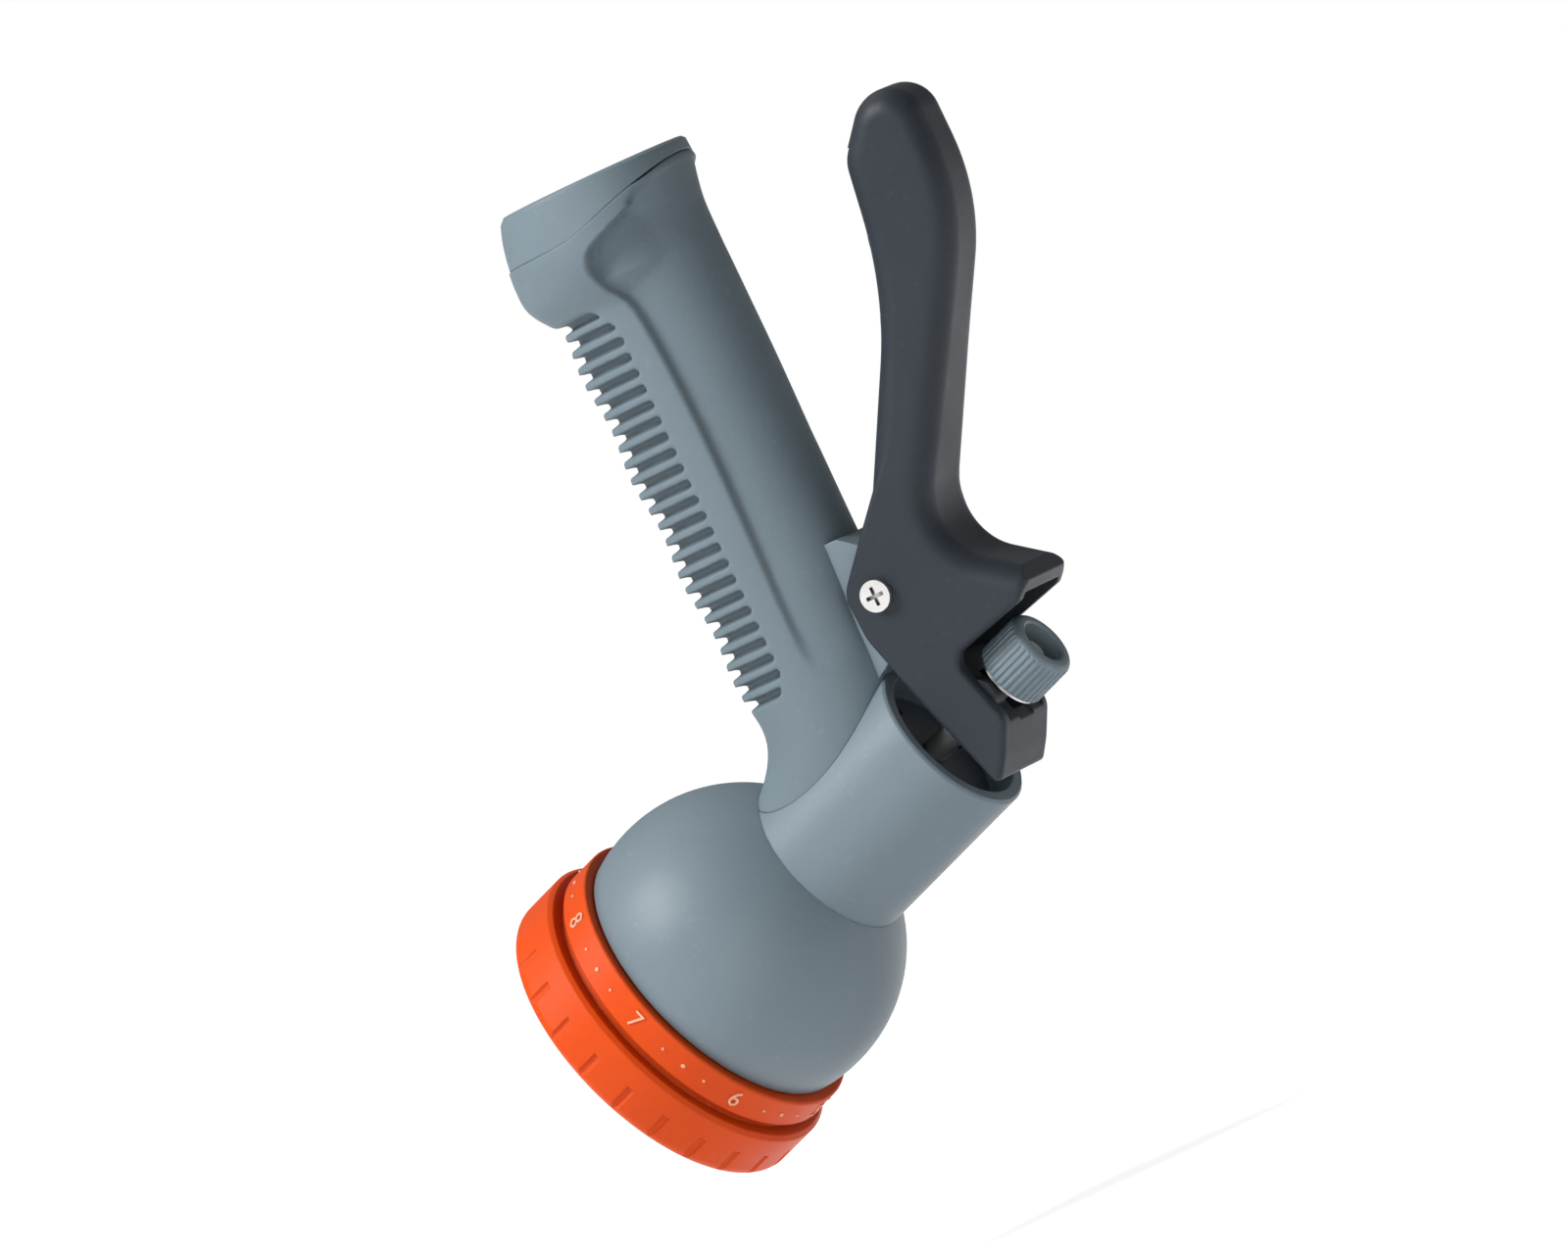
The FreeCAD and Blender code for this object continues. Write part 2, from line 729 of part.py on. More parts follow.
def gripOvermold():
    skin, waist = gripLofts()
    seatEnd = -d.thread_length - d.washer_thick
    shoulder = d.sleeve_radius + 0.7
    under = turned("waist_shoulder", [(0, 0), (0, seatEnd - 9), (d.core_radius + 1, seatEnd - 9),
                                      (shoulder, seatEnd - 3), (shoulder, 0)], False)
    outer = fuse("grip_outer", skin, collarSkirt(), neckFlare())
    lug = prism("grip_lug_seam", lugCorners(), d.lug_half + d.seam_gap)
    carved = cutInTurn("grip_carved", outer, [fuse("grip_cuts", finSlots(), rearPanel()), lug])
    whole = common("grip_trimmed", fuse("grip_whole", carved, cut("grip_waist_open", waist, lug), under),
                   underShutLine("grip_zone", d.seam_gap))
    core = turned("grip_core", [(0, 0), (0, -d.handle_drop), (d.core_radius, -d.handle_drop),
                                (d.core_radius, seatEnd - 7), (d.sleeve_radius, seatEnd - 2),
                                (d.sleeve_radius, 0)], False)
    barrel = disc("grip_barrel_seam", d.barrel_radius + d.seam_gap, rim * 2, bellEdge)
    bell = doc.addObject("Part::Sphere", "grip_bell_seam")
    bind(bell, "Radius", d.bell_radius + d.seam_gap)
    x, z = offBarrel(bellCentre, asSize(0))
    bind(bell, "Placement.Base.x", x)
    bind(bell, "Placement.Base.z", z)
    finish(cutInTurn("grip_overmold", whole, [core, barrel, bell]), "grip_overmold")


# ------------------------------------------------------------------ inlet fittings
def inletFittings():
    top = -d.thread_length
    seat = top - d.washer_thick
    crest = d.thread_minor + d.thread_depth
    finish(ring("inlet_washer", d.washer_bore, crest - d.fit_gap, seat, top, False), "inlet_washer")
    flange = seat - d.filter_flange
    wall = d.passage_radius - 0.3
    tip = flange - d.filter_length
    body = turned("inlet_filter", [(0, tip), (2, tip), (wall, flange - 1), (wall, flange),
                                   (d.thread_minor - 1.1, flange),
                                   (d.thread_minor - 1.1, seat), (wall - 0.8, seat), (wall - 0.8, flange - 1),
                                   (2, tip + 1), (0, tip + 1)], False)
    sketch = newSketch(body, "XZ_Plane", "mesh_windows")
    for row_ in range(2):
        low = tip + 3.6 + row_ * 3.0
        outline(sketch, [(-0.9, low), (0.9, low), (0.9, low + 2.0), (-0.9, low + 2.0)])
    windows = body.newObject("PartDesign::Pocket", "windows")
    windows.Profile = sketch
    windows.Type = "ThroughAll"
    polar(body, windows, 8, "window_ring")
    finish(body, "inlet_filter")


# ------------------------------------------------------------------ valve
def valveSeat():
    body = turned("valve_seat", [(d.seat_bore, seatBack - d.seat_lip), (d.seat_bore + 1, seatBack - d.seat_lip),
                                 (d.seat_bore + 1, seatBack), (d.seat_radius - d.fit_gap, seatBack),
                                 (d.seat_radius - d.fit_gap, seatBack + d.seat_thick),
                                 (d.seat_bore, seatBack + d.seat_thick)])
    section = d.oring_section * 0.8
    middle = seatBack + d.seat_thick / 2
    depth = d.seat_radius - section * 2
    groove(body, [(depth, middle - section), (d.seat_radius + 1, middle - section),
                  (d.seat_radius + 1, middle + section), (depth, middle + section)])
    finish(body, "valve_seat")
    finish(oring("seat_oring", d.seat_radius - section, section, middle), "seat_oring")


def gland():
    """Nut that closes the valve chamber, with the seals the stem slides through."""
    outer = d.gland_radius - d.fit_gap
    body = turned("gland_nut", [(stemBore, glandBack), (outer, glandBack), (outer, glandFront),
                                (stemBore, glandFront)])
    section = d.oring_section
    middle = (glandBack + glandFront) / 2
    reach = stemBore + section * 2
    groove(body, [(stemBore - 1, middle - section), (reach, middle - section),
                  (reach, middle + section), (stemBore - 1, middle + section)])
    sketch = newSketch(body, "XY_Plane", "spanner_slot", glandBack)
    slotReach = outer * 0.72
    outline(sketch, [(slotReach, -1.5), (slotReach + 2.4, -1.5), (slotReach + 2.4, 1.5), (slotReach, 1.5)])
    slot = body.newObject("PartDesign::Pocket", "spanner_slot_cut")
    slot.Profile = sketch
    slot.Reversed = True
    bind(slot, "Length", d.gland_thick * 0.4)
    polar(body, slot, 4, "spanner_slots")
    finish(body, "gland_nut")
    finish(oring("gland_oring", stemBore + section, section, middle), "gland_oring")
    finish(ring("gland_washer", d.chamber_radius + 0.2, outer, glandFront, chamberBack), "gland_washer")


def stemAndPoppet():
    tip = 0.5
    screw = d.stem_radius * 0.6
    screwEnd = poppetBack - 1
    finish(turned("valve_stem", [(0, stemEnd), (d.stem_radius - tip, stemEnd), (d.stem_radius, stemEnd + tip),
                                 (d.stem_radius, sealBack), (screw, sealBack), (screw, screwEnd),
                                 (0, screwEnd)]), "valve_stem")
    rimInner = d.poppet_radius - 0.8
    finish(turned("poppet", [(d.stem_radius, poppetBack), (d.poppet_radius, poppetBack),
                             (d.poppet_radius, sealBack + 0.8), (rimInner, sealBack + 0.8),
                             (rimInner, sealBack), (d.stem_radius, sealBack)]), "poppet")
    finish(ring("poppet_seal", screw, rimInner, sealBack, sealFront), "poppet_seal")
    head = d.seat_bore - 1.6
    body = turned("poppet_screw", [(0, screwEnd), (screw, screwEnd), (screw, sealFront), (head, sealFront),
                                   (head, sealFront + 1.2), (head - 0.8, sealFront + 2), (0, sealFront + 2)])
    sketch = newSketch(body, "XY_Plane", "drive_slot", sealFront + 1.1)
    outline(sketch, [(-0.5, -head), (0.5, -head), (0.5, head), (-0.5, head)])
    slot = body.newObject("PartDesign::Pocket", "drive_slot_cut")
    slot.Profile = sketch
    slot.Reversed = True
    slot.Length = 3
    finish(body, "poppet_screw")


def returnSpring():
    slack = 0.15
    finish(spring("return_spring", d.spring_radius, d.spring_wire, glandFront + slack, poppetBack - slack,
                  d.spring_turns), "return_spring")


# ------------------------------------------------------------------ bell and port plate
def bellHousing():
    inside = d.bell_radius - d.bell_wall
    edge = root(d.bell_radius * d.bell_radius - d.bell_lip * d.bell_lip)
    ledge = d.plate_radius - d.plate_ledge
    ledgeBack = plateBack - d.plate_ledge
    sleeve = d.spigot_radius + d.fit_gap
    sleeveOut = sleeve + 1.8
    drop = bellCentre - root(inside * inside - sleeveOut * sleeveOut)
    shoulder = root(inside * inside - (ledgeBack - bellCentre) * (ledgeBack - bellCentre))
    finish(turned("bell_housing", [(sleeve, d.barrel_front), (d.barrel_radius, d.barrel_front, 0, d.bell_radius),
                                   (edge, bellEdge), (d.plate_radius, bellEdge), (d.plate_radius, plateBack),
                                   (ledge, plateBack), (ledge, ledgeBack), (shoulder, ledgeBack, 0, -inside),
                                   (sleeveOut, drop), (sleeveOut, spigotEnd), (sleeve, spigotEnd)]),
           "bell_housing")


def portPlate():
    """Fixed plate that closes the bell: one port, the dial's hub and the detent's socket."""
    edge = d.plate_radius - d.fit_gap
    hubBack = plateBack - 6
    sealOuter = d.port_radius + d.seal_wall
    recess = d.screw_shoulder + 2.2
    recessFloor_ = plateFront - d.oring_section * 2 + 0.35
    body = turned("port_plate", [(0, hubBack), (d.hub_radius, hubBack), (d.hub_radius, plateBack),
                                 (edge, plateBack), (edge, plateFront), (recess, plateFront),
                                 (recess, recessFloor_), (d.screw_shank, recessFloor_),
                                 (d.screw_shank, hubBack + 1.2), (0, hubBack + 1.2)])
    section = d.oring_section * 0.8
    middle = (plateBack + plateFront) / 2
    groove(body, [(edge - section * 2, middle - section), (edge + 1, middle - section),
                  (edge + 1, middle + section), (edge - section * 2, middle + section)], "edge_groove")
    bosses = newSketch(body, "XY_Plane", "boss_plan", hubBack)
    circle(bosses, d.port_circle, 0, sealOuter + 1.6)
    circle(bosses, -d.detent_circle, 0, d.detent_ball + 1.2)
    raised = body.newObject("PartDesign::Pad", "bosses")
    raised.Profile = bosses
    bind(raised, "Length", plateBack - hubBack)
    drilled(body, [(d.port_circle, 0)], sealOuter + d.fit_gap, hubBack + 1.2, plateFront + 1, "seal_socket")
    drilled(body, [(d.port_circle, 0)], d.port_radius, hubBack - 1, plateFront + 1, "port")
    drilled(body, [(-d.detent_circle, 0)], d.detent_ball + 0.12, hubBack + 1.2, plateFront + 1, "detent_socket")
    finish(body, "port_plate")
    finish(oring("plate_oring", d.plate_radius - section - d.fit_gap, section, middle), "plate_oring")

    sealStart = hubBack + 1.2
    seal = newBody("port_seal", True)
    plan = newSketch(seal, "XY_Plane", "seal_plan", sealStart)
    circle(plan, d.port_circle, 0, sealOuter)
    circle(plan, d.port_circle, 0, d.port_radius)
    pad = seal.newObject("PartDesign::Pad", "seal_pad")
    pad.Profile = plan
    bind(pad, "Length", dialBack - 0.3 - sealStart)
    finish(seal, "port_seal")

    ballCentre = dialBack - 0.05 - d.detent_ball
    ball = doc.addObject("Part::Sphere", "detent_ball")
    bind(ball, "Radius", d.detent_ball)
    setOffAxis(ball, -d.detent_circle, ballCentre)
    finish(ball, "detent_ball")
    finish(spring("detent_spring", d.detent_ball - 0.4, asSize(0.2), hubBack + 1.3,
                  ballCentre - d.detent_ball - 0.1, 4, -d.detent_circle), "detent_spring")


def setOffAxis(thing, above, along):
    """Place a primitive off the barrel's line, above it and along it."""
    x, z = offBarrel(along, above)
    thing.Placement.Rotation = FreeCAD.Rotation(Vector(0, 1, 0), -90)
    bind(thing, "Placement.Rotation.Angle", -d.barrel_tilt - 90)
    bind(thing, "Placement.Base.x", x)
    bind(thing, "Placement.Base.z", z)


# ------------------------------------------------------------------ dial
def patternSpots(radius):
    """Places round the dial, one for each spray pattern."""
    step = 360 / d.pattern_count
    return [(radius * cosine(step * i), radius * sine(step * i)) for i in range(SIZES["pattern_count"])]


def dialRing():
    """Number band, finger rim and the rotating floor with its ports, in one moulding."""
    inner = d.band_radius - d.dial_wall
    low = d.band_radius - d.groove_depth
    outer = d.band_radius + d.rim_proud
    body = turned("dial_ring", [(d.screw_shoulder + d.fit_gap, dialBack), (d.band_radius - 0.3, dialBack),
                                (d.band_radius, dialBack + 0.3), (d.band_radius, bandFront - 0.4),
                                (d.band_radius - 0.4, bandFront), (low, bandFront), (low, rimBack),
                                (outer - 0.8, rimBack), (outer, rimBack + 0.8),
                                (outer, dialFront, 2.4), (inner + 1.2, dialFront, 0.8),
                                (inner, dialFront - 1.6), (inner, floorFront),
                                (d.screw_shoulder + d.fit_gap, floorFront)])
    drilled(body, patternSpots(d.port_circle), d.port_radius, dialBack - 1, floorFront + 1, "ports")
    drilled(body, patternSpots(d.detent_circle), d.detent_ball + 0.4, dialBack - 1, dialBack + 0.9, "dimples")
    sketch = newSketch(body, "XY_Plane", "notch_plan", dialFront - d.notch_length)
    circle(sketch, outer + d.notch_radius * 0.4, 0, d.notch_radius)
    notch = body.newObject("PartDesign::Pocket", "notch")
    notch.Profile = sketch
    notch.Reversed = True
    bind(notch, "Length", d.notch_length + 1)
    polar(body, notch, d.notch_count, "notches")
    finish(body, "dial_ring")


def dialFace():
    """Front plate with a tube for each pattern and the hub's tube."""
    outer = d.band_radius - d.dial_wall - d.fit_gap
    hub = d.screw_head + 0.5
    body = turned("dial_face", [(hub, floorFront), (hub + 1.8, floorFront), (hub + 1.8, faceBack),
                                (outer, faceBack), (outer, faceFront - 0.5), (outer - 0.5, faceFront),
                                (hub, faceFront)])
    tubes = newSketch(body, "XY_Plane", "tube_plan", floorFront)
    tube = d.insert_radius + 0.9
    spots = patternSpots(d.port_circle)
    circle(tubes, spots[0][0], spots[0][1], tube)
    pad = body.newObject("PartDesign::Pad", "tube")
    pad.Profile = tubes
    bind(pad, "Length", faceBack - floorFront)
    polar(body, pad, d.pattern_count, "tubes")
    drilled(body, spots, d.insert_radius, floorFront - 1, faceFront + 1, "tube_bores")
    finish(body, "dial_face")
    finish(disc("hub_cap", hub - d.fit_gap, faceFront - 1.6, faceFront + 0.5), "hub_cap")


def insert(name, index, holes, proud=0.5):
    """One spray insert: a disc in its tube, with holes (x, y, radius) or slots (x, y, length, width)."""
    body = newBody(name, True)
    x, y = patternSpots(d.port_circle)[index]
    plan = newSketch(body, "XY_Plane", name + "_plan", faceBack)
    circle(plan, x, y, d.insert_radius - d.fit_gap)
    pad = body.newObject("PartDesign::Pad", name + "_pad")
    pad.Profile = plan
    bind(pad, "Length", d.face_thick + proud)
    piercing = newSketch(body, "XY_Plane", name + "_holes", faceBack - 1)
    for hole in holes:
        if len(hole) == 3:
            circle(piercing, x + hole[0], y + hole[1], hole[2])
            continue
        left, right = x + hole[0] - hole[2] / 2, x + hole[0] + hole[2] / 2
        low, high = y + hole[1] - hole[3] / 2, y + hole[1] + hole[3] / 2
        outline(piercing, [(left, low), (right, low), (right, high), (left, high)])
    pocket = body.newObject("PartDesign::Pocket", name + "_pierced")
    pocket.Profile = piercing
    pocket.Reversed = True
    bind(pocket, "Length", d.face_thick + 3)
    finish(body, name)


def ringOfHoles(count, radius, size):
    """Holes evenly round a small circle."""
    turn_ = 2 * math.pi / count
    return [(radius * math.cos(turn_ * i), radius * math.sin(turn_ * i), size) for i in range(count)]


def sprayInserts():
    insert("shower_insert", 0, [(0, 0, 0.4)] + ringOfHoles(6, 1.8, 0.4) + ringOfHoles(12, 3.6, 0.4))
    insert("jet_insert", 1, [(0, 0, 1.6)], 1.4)
    insert("mist_insert", 2, ringOfHoles(4, 2.6, 0.35))
    insert("cone_insert", 3, ringOfHoles(6, 3.1, 0.8), 0.9)
    insert("flat_insert", 4, [(0, 0, 7.4, 1.2)])
    insert("soaker_insert", 5, [(0, 0, 1.1)] + ringOfHoles(6, 3.1, 1.0))
    insert("angle_insert", 6, [(0, 1.5, 6.4, 0.9), (0, -1.5, 6.4, 0.9)])
    insert("full_insert", 7, ringOfHoles(3, 2.4, 1.5))


def dialScrew():
    recessFloor_ = plateFront - d.oring_section * 2 + 0.35
    head = floorFront + 0.8
    finish(turned("dial_screw", [(0, plateBack - 3.5), (d.screw_shank, plateBack - 3.5),
                                 (d.screw_shank, recessFloor_), (d.screw_shoulder, recessFloor_),
                                 (d.screw_shoulder, head), (d.screw_head, head), (d.screw_head, head + 1.4),
                                 (d.screw_head - 1, head + 2.2), (1.4, head + 2.2), (1.4, head + 0.8),
                                 (0, head + 0.8)]), "dial_screw")
    washer = ring("dial_washer", d.screw_shoulder + d.fit_gap, d.screw_head, floorFront + 0.1, head)
    finish(washer, "dial_washer")
    middle = recessFloor_ + d.oring_section + 0.02
    sealRadius = d.screw_shoulder + d.oring_section + 0.1
    finish(oring("dial_oring", sealRadius, d.oring_section, middle), "dial_oring")


# ------------------------------------------------------------------ lever
def leverOutline():
    """Side view of the lever, from its pivot: yoke, cut-out for the knob, beak, arm and ear."""
    front = rim - d.yoke_gap
    back = noseBack + 1.2
    innerBack = d.arm_offset + d.arm_depth
    yoke = [(front - 0.2, -d.yoke_drop, 1.2), (front - 5.0, -d.yoke_drop + 3.4, 12),
            (back, -d.yoke_drop + 8.2, 4), (back, d.knob_radius + 1.2, 3.0),
            (knobBack - 6.0, d.knob_radius, 0.8), (knobBack - 9.6, d.knob_radius + 1.6),
            (knobBack - 9.8, d.knob_radius + 4.8)]
    corners = [offPivot(c[0], c[1]) + tuple(c[2:]) for c in yoke]
    corners += [(11.3, 4.6, 12), (innerBack, d.arm_bend + 3.3, 41), (innerBack, d.arm_reach - 1, 6.5),
                (d.arm_offset + 10.4, d.arm_reach + 1, 8), (d.arm_offset + 2, d.arm_reach - 8.6, 8),
                (d.arm_offset - 1.5, d.arm_bend - 5, 74), (3.6, 13.6), (-d.ear_radius, 2.4, 5.5)]
    corners += [offPivot(front, d.pivot_arm - 4.2) + (8,), offPivot(front + 0.4, 4) + (5,)]
    return corners


def leverBlank():
    """The lever before it is hollowed: its side view, narrowed from the ears up to the arm."""
    blank = newBody("lever_blank")
    bind(blank, "Placement.Base.x", pivotX)
    bind(blank, "Placement.Base.z", pivotZ)
    side = newSketch(blank, "XZ_Plane", "lever_side")
    outline(side, leverOutline())
    slab = blank.newObject("PartDesign::Pad", "lever_slab")
    slab.Profile = side
    slab.Midplane = True
    bind(slab, "Length", earHalf * 2)
    flanks = newSketch(blank, "YZ_Plane", "lever_flanks")
    high = d.arm_reach + 10
    for side_ in (1, -1):
        outline(flanks, [(side_ * earHalf, 10.0), (side_ * (earHalf + 9), 10.0), (side_ * (earHalf + 9), high),
                         (side_ * (d.arm_half - 1.2), high), (side_ * d.arm_half, 40, 200)])
    trim = blank.newObject("PartDesign::Pocket", "lever_flank_trim")
    trim.Profile = flanks
    trim.Type = "ThroughAll"
    trim.Midplane = True
    doc.recompute()
    inner = d.arm_half.value - 3
    lean = (d.arm_offset + d.arm_depth / 2).value / d.arm_bend.value

    def onArm(point):
        """On a flank's long edge, above the ear and the beak."""
        upper = point.z > 13 or point.x > 3.7
        return abs(point.y) > inner and upper and point.z > -9 and point.x > 3.5

    def behind(point):
        """On the side of the arm that faces the palm."""
        return point.x > 2 + lean * point.z

    def front(point):
        return not behind(point)

    for test, size, name in ((behind, d.arm_crown, "arm_crown"), (front, d.arm_round, "arm_rounding")):
        base = blank.Tip
        names = edgesWhere(base.Shape, lambda point: onArm(point) and test(point))
        fillet(blank, base, [edge for edge in names if not level(base.Shape.getElement(edge))], size, name)
        doc.recompute()
    return blank


def level(edge):
    """An edge that runs level along a flank, where two flank faces meet."""
    box = edge.BoundBox
    return box.ZLength < 0.01 or box.YLength > 3


def triggerLever():
    blank = leverBlank()
    floor_, slope = -d.yoke_drop + 2.6, 0.8
    webBack = -d.pivot_behind - 1.1
    below = -d.yoke_drop - 5
    front = rim - d.yoke_gap - 0.2
    channel = [offPivot(rim + 5, floor_), offPivot(front, floor_),
               offPivot(webBack, floor_ + (front - webBack) * slope), offPivot(webBack, below),
               offPivot(knobBack - 14, below), (26.5, -14.0), (25.6, -8.4), (9.7, 2.6, 3), (9.0, 14.0),
               (-12.0, 14.0), (-12.0, -30.0)]
    hollow = prism("lever_channel", fromPivot(channel), plateHalf)
    back = d.arm_offset + d.arm_depth - 5
    pocket = [(0.0, 17.0), (13.8, 17.0, 2), (back, d.arm_bend + 4, 36), (back, d.arm_reach - 7, 3),
              (24.0, d.arm_reach - 7), (24.0, d.arm_bend + 1)]
    core = prism("lever_core", fromPivot(pocket), d.arm_half - d.arm_wall)
    ribs = [prism("lever_rib_%d" % i, fromPivot([(5, height), (back, height), (back, height + 1.8),
                                                 (5, height + 1.8)]), d.arm_half - d.arm_wall + 0.4)
            for i, height in enumerate((30.0, 44.0, 58.0))]
    ribbed = common("lever_ribs", blank, fuse("lever_rib_blanks", *ribs))
    hollowed = cutInTurn("lever_hollowed", blank, [hollow, core])
    webLow = -d.yoke_drop + 3.3
    web = prism("lever_web", [(webLow, -d.pivot_behind - 1.5), (d.knob_radius + 2, -d.pivot_behind - 1.5),
                              (d.knob_radius + 2, -d.pivot_behind + 1.3), (webLow, -d.pivot_behind + 1.3)],
                plateHalf + 0.3, True)
    slotHalf = d.stem_radius + 0.7
    slot = prism("stem_slot", [(-d.yoke_drop, -d.pivot_behind - 4), (slotHalf + 1, -d.pivot_behind - 4),
                               (slotHalf + 1, -d.pivot_behind + 4), (-d.yoke_drop, -d.pivot_behind + 4)],
                 slotHalf, True)
    footX, footZ = offBarrel(-d.pivot_behind, asSize(0))
    noses = [bar("lever_nose_left", footX, footZ, d.nose_radius, -plateHalf - 0.3, -slotHalf),
             bar("lever_nose_right", footX, footZ, d.nose_radius, slotHalf, plateHalf + 0.3)]
    webbed = common("lever_web_trimmed", blank, cut("lever_web_slotted", web, slot))
    whole = fuse("lever_whole", hollowed, ribbed, webbed, *noses)
    hole = bar("lever_pin_hole", pivotX, pivotZ, d.pin_radius, -earHalf - 1, earHalf + 1)
    under = prism("yoke_under", [(0, knobBack), (0, rim), (below * 2, rim), (below * 2, knobBack)], earHalf * 2,
                  True)
    inside = disc("yoke_round", d.yoke_drop + 2, knobBack - 1, rim + 1)
    finish(cutInTurn("trigger_lever", whole, [hole, cut("yoke_corners", under, inside)]), "trigger_lever")


def pivotPin():
    """Screw through both ears, its nut, and the bush it turns in."""
    bore = d.pin_radius + d.fit_gap
    bush = cut("pivot_bush", bar("bush_blank", pivotX, pivotZ, bore + d.bush_wall, -d.lug_half, d.lug_half),
               bar("bush_bore", pivotX, pivotZ, bore, -d.lug_half - 1, d.lug_half + 1))
    finish(bush, "pivot_bush")
    top = earHalf + d.pin_head_thick
    shank = bar("pin_shank", pivotX, pivotZ, d.pin_radius, -earHalf - 0.2, earHalf + d.pin_head_thick * 1.3)
    head = bar("pin_head", pivotX, pivotZ, d.pin_head, -top, -earHalf)
    cross = [doc.addObject("Part::Box", "pin_cross_%d" % i) for i in range(2)]
    for i, box in enumerate(cross):
        long, short = d.pin_head * 1.2, d.pin_head * 0.24
        wide, tall = (long, short) if i == 0 else (short, long)
        bind(box, "Length", wide)
        bind(box, "Height", tall)
        bind(box, "Width", d.pin_head_thick * 0.8)
        bind(box, "Placement.Base.x", pivotX - wide / 2)
        bind(box, "Placement.Base.y", -top - 0.4)
        bind(box, "Placement.Base.z", pivotZ - tall / 2)
    finish(cutInTurn("pivot_screw", fuse("pin_blank", shank, head), cross), "pivot_screw")
    nut = doc.addObject("Part::Prism", "nut_blank")
    nut.Polygon = 6
    bind(nut, "Circumradius", d.pin_head * 1.1)
    bind(nut, "Height", d.pin_head_thick * 1.2)
    nut.Placement.Rotation = FreeCAD.Rotation(Vector(1, 0, 0), -90)
    bind(nut, "Placement.Base.x", pivotX)
    bind(nut, "Placement.Base.y", earHalf)
    bind(nut, "Placement.Base.z", pivotZ)
    hole = bar("nut_hole", pivotX, pivotZ, d.pin_radius, earHalf - 1, earHalf + 5)
    finish(cut("pivot_nut", nut, hole), "pivot_nut")


# ------------------------------------------------------------------ flow knob
def flowKnob():
    """Knob on the stem's thread, its brass insert and the washer the lever pushes on."""
    finish(ring("knob_washer", stemBore, d.knob_radius - 0.6, knobFront, washerFront), "knob_washer")
    bore = d.stem_radius + 1.5
    body = turned("flow_knob", [(bore, knobFront), (bore, knobFloor), (bore + 0.4, knobFloor),
                                (bore + 0.4, knobBack + 0.3), (bore + 0.8, knobBack),
                                (d.knob_radius, knobBack, 1.6), (d.knob_radius, knobFront, 0.6)])
    sketch = newSketch(body, "XY_Plane", "rib_plan", knobBack - 1)
    circle(sketch, d.knob_radius + d.rib_radius * 0.1, 0, d.rib_radius)
    rib = body.newObject("PartDesign::Pocket", "rib_gap")
    rib.Profile = sketch
    rib.Reversed = True
    bind(rib, "Length", d.knob_length + 2)
    polar(body, rib, d.rib_count, "rib_gaps")
    finish(body, "flow_knob")
    finish(ring("knob_insert", stemBore + 0.01, bore, knobFloor, knobFront - 0.1), "knob_insert")


mainBody()
gripOvermold()
inletFittings()
valveSeat()
gland()
stemAndPoppet()
returnSpring()
bellHousing()
portPlate()
dialRing()
dialFace()
sprayInserts()
dialScrew()
triggerLever()
pivotPin()
flowKnob()

doc.recompute()
broken = [thing.Name for thing in doc.Objects if "Invalid" in thing.State or "Error" in thing.State]
if broken:
    raise RuntimeError("failed features: " + ", ".join(broken))
for node in nodes:
    if node.Shape.isNull() or not node.Shape.isValid() or not node.Shape.Solids:
        raise RuntimeError("bad shape: " + node.Label)

os.makedirs("parts", exist_ok=True)
for node in nodes:
    node.Shape.exportStep("parts/%s.step" % node.Label)
    print(node.Label, round(node.Shape.Volume, 1), len(node.Shape.Solids))
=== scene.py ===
import json
import math
import bpy
import numpy as np
from mathutils import Matrix, Vector


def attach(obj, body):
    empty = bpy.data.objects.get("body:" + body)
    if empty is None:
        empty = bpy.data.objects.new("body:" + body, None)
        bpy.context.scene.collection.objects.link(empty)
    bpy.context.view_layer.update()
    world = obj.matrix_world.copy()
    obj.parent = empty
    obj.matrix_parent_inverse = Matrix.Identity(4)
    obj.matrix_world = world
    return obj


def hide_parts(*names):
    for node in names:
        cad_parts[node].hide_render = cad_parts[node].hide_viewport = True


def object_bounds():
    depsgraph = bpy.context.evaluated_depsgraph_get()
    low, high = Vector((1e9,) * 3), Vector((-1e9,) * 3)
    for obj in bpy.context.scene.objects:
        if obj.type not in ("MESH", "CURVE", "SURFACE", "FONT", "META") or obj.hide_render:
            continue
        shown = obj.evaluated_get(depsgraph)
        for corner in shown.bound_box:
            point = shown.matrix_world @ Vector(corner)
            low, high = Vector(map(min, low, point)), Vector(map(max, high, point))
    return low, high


# The looks of the hose nozzle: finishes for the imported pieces, a finer skin for the grip, numbers
# on the dial, and a plain pale studio.

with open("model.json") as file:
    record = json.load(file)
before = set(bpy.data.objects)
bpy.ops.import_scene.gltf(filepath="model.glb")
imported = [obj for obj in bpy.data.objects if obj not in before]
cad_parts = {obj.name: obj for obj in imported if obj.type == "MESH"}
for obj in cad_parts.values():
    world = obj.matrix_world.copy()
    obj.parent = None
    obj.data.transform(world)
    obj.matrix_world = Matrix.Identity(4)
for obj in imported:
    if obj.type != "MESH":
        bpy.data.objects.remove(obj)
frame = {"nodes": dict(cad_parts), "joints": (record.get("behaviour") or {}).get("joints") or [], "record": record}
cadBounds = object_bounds()
nodes = frame["nodes"]
joints = {joint["name"]: joint for joint in frame["joints"]}
mm = 0.001

# the barrel's line: the spray leaves along it, and the dial turns about it
spray = np.array(joints["dial_turn"]["axis"])
barrelFoot = np.array(joints["dial_turn"]["pos_m"]) / mm
above = np.array([spray[2], 0.0, -spray[0]])            # square to the spray, on the lever's side
across = np.array([0.0, 1.0, 0.0])
print("frame loaded:", len(nodes), "nodes")


